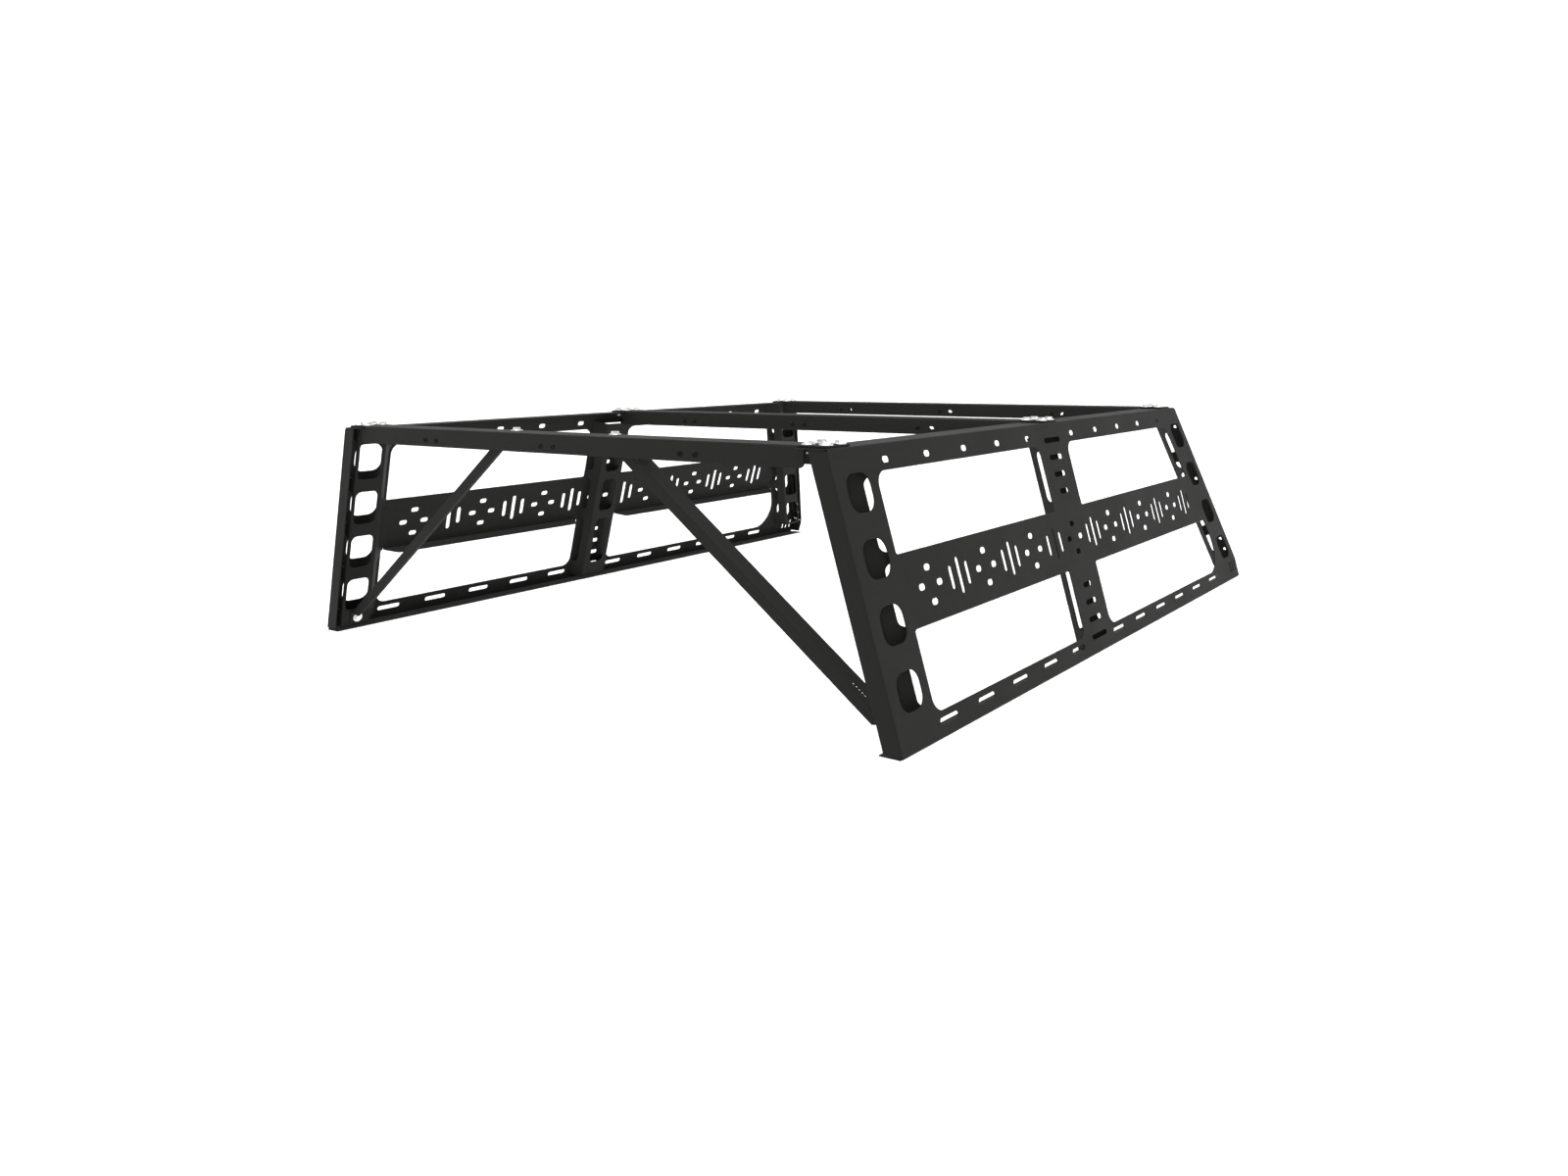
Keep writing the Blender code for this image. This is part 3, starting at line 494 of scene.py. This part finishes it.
def bend_path(points, radius):
    """A polyline with rounded corners: its length, its arcs' ends, and at(t, offset to its left)."""
    pieces, t, here = [], 0.0, Vector(points[0])
    for i in range(1, len(points)):
        corner = Vector(points[i])
        along = (corner - here).normalized()
        if i == len(points) - 1:
            pieces.append((t, t + (corner - here).length, here, along, 0.0))
            t += (corner - here).length
            break
        ahead = (Vector(points[i + 1]) - corner).normalized()
        turn = math.atan2(along.cross(ahead), along.dot(ahead))
        setback = radius * math.tan(abs(turn) / 2)
        straight = (corner - here).length - setback
        pieces.append((t, t + straight, here, along, 0.0))
        t += straight
        pieces.append((t, t + radius * abs(turn), corner - along * setback, along, turn))
        t += radius * abs(turn)
        here = corner + ahead * setback

    def at(t, offset):
        start, end, origin, along, turn = next((p for p in pieces if t <= p[1] + 1e-7), pieces[-1])
        left = Vector((-along.y, along.x))
        if turn == 0.0:
            return origin + along * (t - start) + left * offset
        sign = 1 if turn > 0 else -1
        angle = (t - start) / radius
        r = radius - sign * offset
        return origin + along * r * math.sin(angle) + left * sign * (radius - r * math.cos(angle))

    bends = [(p[0], p[1]) for p in pieces if p[4] != 0.0]
    return t, bends, at


def bend_cuts(bends):
    """Cuts across a pattern whose first coordinate runs along the path."""
    return [((start + (end - start) * k / BEND_STEPS, 0), (1, 0)) for start, end in bends
            for k in range(BEND_STEPS + 1)]


# ---- side panels ----
LENGTH = cad_box[1][1] - cad_box[0][1]
MID_LENGTH = LENGTH / 2
HALF_WIDTH = (cad_box[1][0] - cad_box[0][0]) / 2
SIN_LEAN, COS_LEAN = math.sin(LEAN), math.cos(LEAN)
SHEET = 0.002
BEND_RADIUS = 0.0035
BEND_STEPS = 4
SLOPE_HEIGHT = 0.461
TOP_Z = SLOPE_HEIGHT * COS_LEAN
TOP_HALF = HALF_WIDTH - SLOPE_HEIGHT * SIN_LEAN
TOE_HEIGHT = 0.051
TOP_LENGTH = 1.529
FAR_SLOPE = (LENGTH - TOP_LENGTH) / (SLOPE_HEIGHT - TOE_HEIGHT)
FAR_STRETCH = math.hypot(1, FAR_SLOPE)
FLANGE = 0.031
TOP_FLANGE = 0.056
FOOT_FLANGE = 0.0416
BAND_FLANGE = 0.028
RAIL = 0.042
BAND = (0.172, 0.290)
REAR_WIDTH, MID_CENTRE, MID_HALF, FAR_WIDTH = 0.116, 0.7672, 0.0655, 0.1203
HOLE = (0.020, 0.0105)
SLOT_LENGTH = 0.058
SLOT_HEIGHT, RAIL_HOLE_HEIGHT = 0.0264, 0.4357
HOLE_PITCH = 0.127
RAIL_RUNS = ((0.152, 5), (0.8677, 6))
RAIL_HOLES = 5
GROUP_START, GROUP_PITCH, GROUPS = 0.1942, 0.190, 7
CROSS_REACH = 0.0278
STRIPE_PITCH = 0.0274
STRIPE_LENGTHS = (0.0395, 0.061, 0.0395)
LADDER_LENGTHS = (0.073, 0.060, 0.051, 0.040)
LADDER_RISE = 0.034
END_OPENING_CENTRE, END_OPENING_HALF = 0.062, (0.033, 0.030)
END_OPENING_RADII = (0.022, 0.016)
FLANGE_HOLE_HEIGHTS = (0.0795, 0.109, 0.2769, 0.4162)
FLANGE_HOLE_REACH, FLANGE_HOLE_RADIUS = 0.016, 0.0045
WINDOW_RADII = (0.024, 0.004, 0.062)
TAB_TAPER, TAB_RADIUS, TAB_CUT = 0.022, 0.011, 0.0015
RELIEF = 0.0008
JOINT = 0.0003  # the gap between pieces that touch
TOE_SPLIT, SLANT_SPLIT = 0.001, 0.0015


def far_edge(u):
    return LENGTH - (u - TOE_HEIGHT) * FAR_SLOPE


def panel_world(side, s, u, d):
    """A point s along, u up and d behind a panel's outer face, in world coordinates."""
    x = HALF_WIDTH - u * SIN_LEAN - d * COS_LEAN
    return Vector((side * x, s - MID_LENGTH, u * COS_LEAN - d * SIN_LEAN))


TOP_ANGLE, FOOT_ANGLE = math.pi / 2 - LEAN, math.pi / 2 + LEAN
TOP_START = SLOPE_HEIGHT - BEND_RADIUS * math.tan(TOP_ANGLE / 2)
FOOT_START = BEND_RADIUS * math.tan(FOOT_ANGLE / 2)
TOP_END = TOP_LENGTH - BEND_RADIUS * FAR_STRETCH - RELIEF
TAB_START = BAND[0] + BEND_RADIUS
NORMAL = Vector((1, FAR_SLOPE)) / FAR_STRETCH
TAB_LENGTH = bend_length(math.pi / 2, BEND_RADIUS, BAND_FLANGE)
EDGE_LENGTH = bend_length(math.pi / 2, BEND_RADIUS, FLANGE)
TAB_FLOOR = 0.1
TABS = [(REAR_WIDTH + 0.006, MID_CENTRE - MID_HALF - 0.006),
        (MID_CENTRE + MID_HALF + 0.006, far_edge(BAND[0]) - FAR_WIDTH - 0.007)]


def panel_fold(s, u, offset):
    """Fold a point of the flat pattern: rear, foot, top, toe, slanted and band flanges."""
    right = math.pi / 2
    clear_of_ends = BEND_RADIUS <= s <= LENGTH - BEND_RADIUS
    if u < FOOT_START - 1e-7 and (clear_of_ends or u < 0):
        reach, d = fold(FOOT_START - u, offset, FOOT_ANGLE, BEND_RADIUS)
        return s, FOOT_START - reach, d
    past_corner = s >= BEND_RADIUS or (s > 0 and u > SLOPE_HEIGHT)
    if u > TOP_START + 1e-7 and s < TOP_END + 1e-5 and past_corner:
        reach, d = fold(u - TOP_START, offset, TOP_ANGLE, BEND_RADIUS)
        return s, TOP_START + reach, d
    if s < BEND_RADIUS:
        reach, d = fold(BEND_RADIUS - s, offset, right, BEND_RADIUS)
        return BEND_RADIUS - reach, u, d
    if s > LENGTH - BEND_RADIUS and u < TOE_HEIGHT:
        reach, d = fold(s - LENGTH + BEND_RADIUS, offset, right, BEND_RADIUS)
        return LENGTH - BEND_RADIUS + reach, u, d
    e = (s - far_edge(u)) / FAR_STRETCH + BEND_RADIUS
    if e > 0 and u > TOE_HEIGHT - TOE_SPLIT:
        reach, d = fold(e, offset, right, BEND_RADIUS)
        return s + NORMAL.x * (reach - e), u + NORMAL.y * (reach - e), d
    if TAB_FLOOR < u < TAB_START - 1e-7 and any(a - 1e-5 <= s <= b + 1e-5 for a, b in TABS):
        reach, d = fold(TAB_START - u, offset, right, BEND_RADIUS)
        return s, TAB_START - reach, d
    return s, u, offset


def edge_point(u, e):
    """A point e past the start of the bend along the slanted edge, level with slope height u."""
    return tuple(Vector((far_edge(u), u)) + NORMAL * (e - BEND_RADIUS))


def panel_outline():
    r, e = BEND_RADIUS, EDGE_LENGTH
    rise = FLANGE * SIN_LEAN / COS_LEAN
    under = SLOPE_HEIGHT - SHEET - 2 * JOINT
    foot = FOOT_START - bend_length(FOOT_ANGLE, r, FOOT_FLANGE)
    past_foot = FOOT_START - r * FOOT_ANGLE
    top = TOP_START + bend_length(TOP_ANGLE, r, TOP_FLANGE)
    past_top = TOP_START + r * TOP_ANGLE
    first, last = r + RELIEF, LENGTH - r - RELIEF
    low = FOOT_START + RELIEF
    end, toe, slant = LENGTH - r, TOE_HEIGHT - TOE_SPLIT, TOE_HEIGHT + SLANT_SPLIT
    return [(first, FOOT_START), (first, past_foot), (JOINT, past_foot), (JOINT, foot),
            (LENGTH - JOINT, foot), (LENGTH - JOINT, past_foot), (last, past_foot), (last, FOOT_START),
            (end, low), (end + e, low + rise), (end + e, toe), (end, toe), edge_point(slant, 0),
            edge_point(slant, e), edge_point(under + rise, e), edge_point(under - TOE_SPLIT, 0),
            (TOP_END, TOP_START), (TOP_END, top), (JOINT, top), (JOINT, past_top), (first, past_top),
            (first, TOP_START), (r, under - TOE_SPLIT), (r - e, under + rise), (r - e, low + rise),
            (r, low)]


def window(start, low_end, high_end, low, high, radii, tab=None):
    corners = [(start, low), (low_end, low), (high_end, high), (start, high)]
    radii = list(radii)
    if tab:
        first, last = tab
        straight = TAB_START - BEND_RADIUS * math.pi / 2
        tip = TAB_START - TAB_LENGTH
        cut = TAB_CUT
        corners[3:3] = [(last + cut, high), (last + cut, TAB_START), (last, TAB_START),
                        (last, straight), (last - TAB_TAPER, tip), (first + TAB_TAPER, tip),
                        (first, straight), (first, TAB_START), (first - cut, TAB_START),
                        (first - cut, high)]
        radii[3:3] = [0, 0, 0, 0, TAB_RADIUS, TAB_RADIUS, 0, 0, 0, 0]
    return rounded(corners, radii)


def panel_holes():
    rail, band, wide = WINDOW_RADII
    low, high = (RAIL, BAND[0]), (BAND[1], SLOPE_HEIGHT - RAIL)
    rear_end, front_start = MID_CENTRE - MID_HALF, MID_CENTRE + MID_HALF
    holes = [window(REAR_WIDTH, rear_end, rear_end, *low, (rail, rail, band, band), TABS[0]),
             window(REAR_WIDTH, rear_end, rear_end, *high, (band, band, rail, rail)),
             window(front_start, far_edge(low[0]) - FAR_WIDTH, far_edge(low[1]) - FAR_WIDTH, *low,
                    (rail, wide, band, band), TABS[1]),
             window(front_start, far_edge(high[0]) - FAR_WIDTH, far_edge(high[1]) - FAR_WIDTH, *high,
                    (band, band, wide, rail))]
    middle = sum(BAND) / 2
    for i in range(GROUPS):
        s = GROUP_START + i * GROUP_PITCH
        for ds, du in ((-1, 0), (1, 0), (0, -1), (0, 1)):
            holes.append(obround(s + ds * CROSS_REACH, middle + du * CROSS_REACH, *HOLE))
        for k, length in zip((-1, 0, 1), STRIPE_LENGTHS):
            holes.append(obround(s + GROUP_PITCH / 2 + k * STRIPE_PITCH, middle, HOLE[1], length))
    for start, slots in RAIL_RUNS:
        for i in range(slots):
            holes.append(obround(start + i * HOLE_PITCH, SLOT_HEIGHT, SLOT_LENGTH, HOLE[1]))
            if i < RAIL_HOLES:
                holes.append(obround(start + i * HOLE_PITCH, RAIL_HOLE_HEIGHT, *HOLE))
    for i, length in enumerate(LADDER_LENGTHS):
        rise = LADDER_RISE * (i + 1)
        holes += [obround(MID_CENTRE, u, length, HOLE[1]) for u in (rise, SLOPE_HEIGHT - rise)]
    half, tall = END_OPENING_HALF
    lean = FAR_SLOPE * tall
    for u in END_HEIGHTS:
        x = END_OPENING_CENTRE
        outline = rectangle(x - half, u - tall, x + half, u + tall)
        holes.append(rounded(outline, [END_OPENING_RADII[0]] * 4))
        x = far_edge(u) - x
        corners = [(x - half + lean, u - tall), (x + half + lean, u - tall),
                   (x + half - lean, u + tall), (x - half - lean, u + tall)]
        holes.append(rounded(corners, [END_OPENING_RADII[1]] * 4))
    for u in FLANGE_HOLE_HEIGHTS:
        centre = edge_point(u, bend_length(math.pi / 2, BEND_RADIUS, FLANGE_HOLE_REACH))
        holes.append(small_hole(centre, FLANGE_HOLE_RADIUS))
    return holes + BADGE


END_START, END_PITCH = 0.0905, 0.1005
END_HEIGHTS = [END_START + i * END_PITCH for i in range(4)]
BADGE_START, BADGE_PITCH, BADGE_HEIGHT, BADGE_SLOT = 1.657, 0.019, 0.033, (0.007, 0.028)
BADGE = [obround(BADGE_START + k * BADGE_PITCH, BADGE_HEIGHT, *BADGE_SLOT) for k in range(3)]


MIDDLE_HEIGHT = 0.2


def panel_cuts():
    """Cuts along every bend line; the slanted edge's pass through a point halfway up."""
    cuts = []
    for k in range(BEND_STEPS + 1):
        share = k / BEND_STEPS
        quarter = BEND_RADIUS * math.pi / 2 * share
        cuts += [((BEND_RADIUS - quarter, 0), (1, 0)),
                 ((LENGTH - BEND_RADIUS + quarter, 0), (1, 0)),
                 ((0, TAB_START - quarter), (0, 1)),
                 ((0, FOOT_START - BEND_RADIUS * FOOT_ANGLE * share), (0, 1)),
                 ((0, TOP_START + BEND_RADIUS * TOP_ANGLE * share), (0, 1)),
                 (edge_point(MIDDLE_HEIGHT, quarter), tuple(NORMAL))]
    return cuts


def side_panels():
    for label, side in (("left", -1), ("right", 1)):
        def place(s, u, offset):
            return panel_world(side, *panel_fold(s, u, offset))
        name = f"fine_side_panel_{label}"
        mesh = folded_sheet(name, panel_outline(), panel_holes(), panel_cuts(), place, SHEET)
        add_sheet(name, mesh, [f"side_panel_{label}"])


side_panels()


# ---- inner uprights ----
UPRIGHT_DEPTH = 0.032
UPRIGHT_FOOT = SHEET + JOINT
FLARE_OPENING_DEPTH = 0.0163
OPENING_RADIUS = 0.013
NOTCH_RADIUS = OPENING_RADIUS * 0.95
WALL_OPENING_RADIUS = 0.008
CEILING = TOP_Z - SHEET - 0.0008
REAR_FOOT, REAR_BOTTOM = 0.1152, 0.016
FRONT_FOOT, FRONT_BOTTOM = 0.1085, 0.048
WEB_END, WALL = 0.080, 0.0143
WEB_OPENING_HALF = 0.03675
WEB_OPENING = (0.07195, 0.01945)
WALL_OPENING = (0.026, 0.009)
TOP_OPENING_END = 0.438
MID_CHANNEL_CENTRE, MID_FOOT_HALF, MID_WEB_HALF = 0.7645, 0.060, 0.0395
MID_OPENING_HALF = 0.0235
MID_BOTTOM, MID_TOP = 0.016, 0.440


def notches(spans, edge, reach):
    """Openings that run off a long edge of the pattern, listed down the left or up the right one."""
    points, radii = [], []
    inner = edge + reach
    for low, high in (spans if reach < 0 else reversed(spans)):
        first, last = (low, high) if reach < 0 else (high, low)
        points += [(edge, first), (inner, first), (inner, last), (edge, last)]
        radii += [0, NOTCH_RADIUS, NOTCH_RADIUS, 0]
    return points, radii


def end_upright(label, side, rear):
    foot_end, bottom = (REAR_FOOT, REAR_BOTTOM) if rear else (FRONT_FOOT, FRONT_BOTTOM)
    path = [(foot_end, UPRIGHT_FOOT), (WEB_END, UPRIGHT_DEPTH),
            (WALL, UPRIGHT_DEPTH), (WALL, UPRIGHT_FOOT)]
    length, bends, at = bend_path(path, BEND_RADIUS)
    slant = (Vector(path[1]) - Vector(path[0])).length / (UPRIGHT_DEPTH - UPRIGHT_FOOT)
    web_start, web_s = bends[0][1], at(bends[0][1], 0).x
    half = WEB_OPENING_HALF
    spans = [[u - half, u + half] for u in END_HEIGHTS if u - half > bottom]
    spans[-1][1] = TOP_OPENING_END
    web_edge, wall_edge = web_start + web_s, length + UPRIGHT_FOOT
    holes = []
    for low, high in spans:
        outline = rectangle(web_edge - WEB_OPENING[0], low, web_edge - WEB_OPENING[1], high)
        holes.append(rounded(outline, [OPENING_RADIUS] * 4))
        outline = rectangle(wall_edge - WALL_OPENING[0], low, wall_edge - WALL_OPENING[1], high)
        holes.append(rounded(outline, [WALL_OPENING_RADIUS] * 4))
    flare = REAR_FLARE if rear else FRONT_FLARE
    points, radii = notches(flare, 0, (FLARE_OPENING_DEPTH - UPRIGHT_FOOT) * slant)
    stops = [length, bends[1][1], bends[1][0], bends[0][1], bends[0][0], 0]
    top = [(t, (CEILING + at(t, 0).y * SIN_LEAN) / COS_LEAN) for t in stops]
    outline = [(0, bottom), (length, bottom)] + top + points
    outline = rounded(outline, [0, 0] + [0] * len(top) + radii)

    def place(t, u, offset):
        x, d = at(t, offset)
        return panel_world(side, x if rear else far_edge(u) - x * FAR_STRETCH, u, d)
    name = f"{'rear' if rear else 'front'}_upright_{label}"
    mesh = folded_sheet(f"fine_{name}", outline, holes, bend_cuts(bends), place, SHEET)
    add_sheet(f"fine_{name}", mesh, [name])


def mid_upright(label, side):
    centre, foot, web = MID_CHANNEL_CENTRE, MID_FOOT_HALF, MID_WEB_HALF
    path = [(centre + foot, UPRIGHT_FOOT), (centre + web, UPRIGHT_DEPTH),
            (centre - web, UPRIGHT_DEPTH), (centre - foot, UPRIGHT_FOOT)]
    length, bends, at = bend_path(path, BEND_RADIUS)
    slant = (Vector(path[1]) - Vector(path[0])).length / (UPRIGHT_DEPTH - UPRIGHT_FOOT)
    web_start, web_s = bends[0][1], at(bends[0][1], 0).x
    middle, half = web_start + web_s - MID_CENTRE, MID_OPENING_HALF
    holes = [rounded(rectangle(middle - half, low, middle + half, high), [OPENING_RADIUS] * 4)
             for low, high in MID_OPENINGS]
    reach = (FLARE_OPENING_DEPTH - UPRIGHT_FOOT) * slant
    left, left_radii = notches(MID_OPENINGS, 0, reach)
    right, right_radii = notches(MID_OPENINGS, length, -reach)
    outline = [(0, MID_BOTTOM), (length, MID_BOTTOM)] + right + [(length, MID_TOP), (0, MID_TOP)] + left
    outline = rounded(outline, [0, 0] + right_radii + [0, 0] + left_radii)

    def place(t, u, offset):
        s, d = at(t, offset)
        return panel_world(side, s, u, d)
    name = f"mid_upright_{label}"
    mesh = folded_sheet(f"fine_{name}", outline, holes, bend_cuts(bends), place, SHEET)
    add_sheet(f"fine_{name}", mesh, [name])


REAR_FLARE = [(0.0575, 0.160), (0.181, 0.279), (0.297, 0.413)]
FRONT_FLARE = [(0.086, 0.180), (0.202, 0.299), (0.314, 0.403)]
MID_OPENINGS = [(0.0535, 0.179), (0.2012, 0.2883), (0.3097, 0.411)]
for label, side in (("left", -1), ("right", 1)):
    end_upright(label, side, True)
    mid_upright(label, side)
    end_upright(label, side, False)


# ---- crossbars ----
BAR_SHEET = 0.0033
BAR_RADIUS = 0.0045
BAR_HALF, WALL_HALF = 0.590, 0.551
STEP = TOP_HALF - TOP_FLANGE - 0.0015
STEP_SPLIT = 0.001
TONGUE_RADIUS, WALL_RADIUS = 0.003, 0.010
PAIR_PITCH, SLOT_OFFSET = 0.3255, 0.016
SLOT_DROP, BAR_SLOT = 0.0215, (0.014, 0.010)


def crossbar(station):
    name = f"crossbar_{station}"
    low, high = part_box(name)
    width, height = high[1] - low[1], high[2] - low[2]
    top, middle = high[2], (high[1] + low[1]) / 2
    half = width / 2 - BAR_RADIUS
    quarter = BAR_RADIUS * math.pi / 2

    def down(depth):
        return half + quarter + depth - BAR_RADIUS
    notch, edge = down(top - TOP_Z + SHEET + 2 * JOINT), down(height)
    row = [(BAR_HALF, width / 2), (STEP + STEP_SPLIT, width / 2), (STEP, half), (STEP, notch),
           (WALL_HALF, notch), (WALL_HALF, edge)]
    row += [(-x, t) for x, t in reversed(row)]
    radii = [TONGUE_RADIUS, 0, 0, 0, 0, WALL_RADIUS]
    radii += reversed(radii)
    outline = rounded(row + [(-x, -t) for x, t in row], radii * 2)
    holes = [obround(pair * PAIR_PITCH + k * SLOT_OFFSET, sign * down(SLOT_DROP), *BAR_SLOT)
             for pair in (-1, 0, 1) for k in (-1, 1) for sign in (-1, 1)]
    cuts = [((0, sign * (half + quarter * k / BEND_STEPS)), (0, 1))
            for sign in (-1, 1) for k in range(BEND_STEPS + 1)]

    def place(x, t, offset):
        sign = 1 if t > 0 else -1
        reach, depth = abs(t) - half, offset
        if abs(x) < STEP + 1e-5 or reach > width / 2 - half + 1e-5:
            reach, depth = fold(reach, offset, math.pi / 2, BAR_RADIUS)
        return Vector((x, middle + sign * (half + reach), top - depth))
    mesh = folded_sheet(f"fine_{name}", outline, holes, cuts, place, BAR_SHEET)
    add_sheet(f"fine_{name}", mesh, [name])


for station in ("rear", "mid", "front"):
    crossbar(station)


# ---- braces ----
BRACE_OUTWARD = Vector((0.6, 0.8))
BRACE_LINE = 0.439
BRACE_TAB, BRACE_TOE = 0.032, 0.025
BRACE_RADIUS = 0.003
BRACE_FLANGE = 0.020
BRACE_END_RADIUS, FLANGE_TIP_RADIUS = 0.004, 0.003
DOT_COUNT, DOT_RADIUS = 5, 0.0022
DOT_START, DOT_PITCH, DOT_FROM_EDGE = 0.0618, 0.0066, 0.013


def brace_path():
    """The brace's outer line in X and Z: top tab, long 3 in 4 slope, toe along the upright's web."""
    outward, line = BRACE_OUTWARD, BRACE_LINE
    bend = Vector(((line - outward.y * TOP_Z) / outward.x, TOP_Z))
    web_x = HALF_WIDTH - (UPRIGHT_DEPTH + JOINT) / COS_LEAN
    tan_lean = SIN_LEAN / COS_LEAN
    toe_z = (line - outward.x * web_x) / (outward.y - outward.x * tan_lean)
    toe = Vector((web_x - toe_z * tan_lean, toe_z))
    return [bend - Vector((BRACE_TAB, 0)), bend, toe,
            toe + BRACE_TOE * Vector((SIN_LEAN, -COS_LEAN))]


def brace(label, side):
    name = f"brace_{label}"
    low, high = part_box(name)
    width, r = high[1] - low[1], BRACE_RADIUS
    length, bends, at = bend_path([tuple(p) for p in brace_path()], r)
    first, last = bends[0][1] + BRACE_RADIUS, bends[1][0] - SHEET
    tip = r - bend_length(math.pi / 2, r, BRACE_FLANGE)
    outline = [(0, 0), (first - RELIEF, 0), (first - RELIEF, r), (first, r),
               (first + BRACE_FLANGE, tip), (last - BRACE_FLANGE, tip), (last, r),
               (last + RELIEF, r), (last + RELIEF, 0), (length, 0), (length, width), (0, width)]
    end, corner = BRACE_END_RADIUS, FLANGE_TIP_RADIUS
    outline = rounded(outline, [end, 0, 0, 0, corner, corner, 0, 0, 0, end, end, end])
    dots = last + BRACE_RADIUS - DOT_START
    holes = [small_hole((dots - DOT_PITCH * i, DOT_FROM_EDGE), DOT_RADIUS) for i in range(DOT_COUNT)]
    cuts = bend_cuts(bends)
    cuts += [((0, r - r * math.pi / 2 * k / BEND_STEPS), (0, 1)) for k in range(BEND_STEPS + 1)]

    def place(t, w, offset):
        y, depth = w, offset
        if w < r - 1e-7 and first - 1e-5 <= t <= last + 1e-5:
            reach, depth = fold(r - w, offset, math.pi / 2, r)
            y = r - reach
        x, z = at(t, -depth)
        return Vector((side * x, low[1] + y, z))
    mesh = folded_sheet(f"fine_{name}", outline, holes, cuts, place, SHEET)
    add_sheet(f"fine_{name}", mesh, [name])


brace("left", -1)
brace("right", 1)


# ---- camera, light and floor ----
CAMERA_PLACE = (1.5206, -2.2010, 0.5675)
RIGHT = Vector((0.80282, 0.59614, -0.01015))
UP = Vector((-0.10935, 0.16395, 0.98039))
LENS = 26.10
FLOOR_SIZE = 60
FLOOR_ROUGHNESS = 0.9
FLOOR_DARK, FLOOR_LIGHT = (0.97, 0.97, 0.97), (0.985, 0.985, 0.985)
OVERHEAD_POWER, OVERHEAD_ANGLE = 3.4, math.radians(40)
SKY_STRENGTH = 1.3
SKY_FADE = (("From Min", 0.3), ("From Max", 0.75), ("To Min", 1.0), ("To Max", 0.2))
KEY_PLACE, KEY_TARGET, KEY_SIZE, KEY_POWER = (3.0, -4.0, 4.5), (0, 0, 0.2), (3, 3), 60


def camera():
    data = bpy.data.cameras.new("camera")
    data.lens = LENS
    item = bpy.data.objects.new("camera", data)
    bpy.context.scene.collection.objects.link(item)
    turn = Matrix((RIGHT, UP, RIGHT.cross(UP))).transposed().to_4x4()
    item.matrix_world = Matrix.Translation(CAMERA_PLACE) @ turn
    bpy.context.scene.camera = item


def area_light(name, place, target, size, power):
    data = bpy.data.lights.new(name, "AREA")
    data.shape = "RECTANGLE"
    data.size, data.size_y = size
    data.energy = power
    item = bpy.data.objects.new(name, data)
    bpy.context.scene.collection.objects.link(item)
    item.location = place
    item.rotation_euler = (Vector(target) - Vector(place)).to_track_quat("-Z", "Y").to_euler()


def floor():
    bpy.ops.mesh.primitive_plane_add(size=FLOOR_SIZE, location=(0, 0, 0))
    item = bpy.context.object
    item.name = "floor"
    material, nodes, links = new_shader("floor")
    shader = nodes["Principled BSDF"]
    place = nodes.new("ShaderNodeTexCoord")
    mottle = noise(nodes, links, 3, 3, place)
    colour = mix_colour(nodes, links, mottle.outputs["Fac"], FLOOR_DARK, FLOOR_LIGHT)
    links.new(colour, shader.inputs["Base Color"])
    shader.inputs["Roughness"].default_value = FLOOR_ROUGHNESS
    item.data.materials.append(material)


def overhead():
    """A shadowless light from above, which keeps the floor white under the dim sky overhead."""
    data = bpy.data.lights.new("overhead", "SUN")
    data.energy = OVERHEAD_POWER
    data.angle = OVERHEAD_ANGLE
    data.use_shadow = False
    item = bpy.data.objects.new("overhead", data)
    bpy.context.scene.collection.objects.link(item)


def world():
    """A studio that is white around the horizon and dims overhead."""
    background = bpy.data.worlds.new("studio")
    background.use_nodes = True
    nodes = background.node_tree.nodes
    links = background.node_tree.links
    place = nodes.new("ShaderNodeTexCoord")
    split = nodes.new("ShaderNodeSeparateXYZ")
    links.new(place.outputs["Generated"], split.inputs[0])
    fade = nodes.new("ShaderNodeMapRange")
    links.new(split.outputs["Z"], fade.inputs["Value"])
    fade.interpolation_type = "SMOOTHSTEP"
    for name, value in SKY_FADE:
        fade.inputs[name].default_value = value
    links.new(fade.outputs["Result"], nodes["Background"].inputs["Color"])
    nodes["Background"].inputs["Strength"].default_value = SKY_STRENGTH
    bpy.context.scene.world = background


bpy.context.scene.view_settings.view_transform = "Standard"
camera()
floor()
world()
overhead()
area_light("key", KEY_PLACE, KEY_TARGET, KEY_SIZE, KEY_POWER)
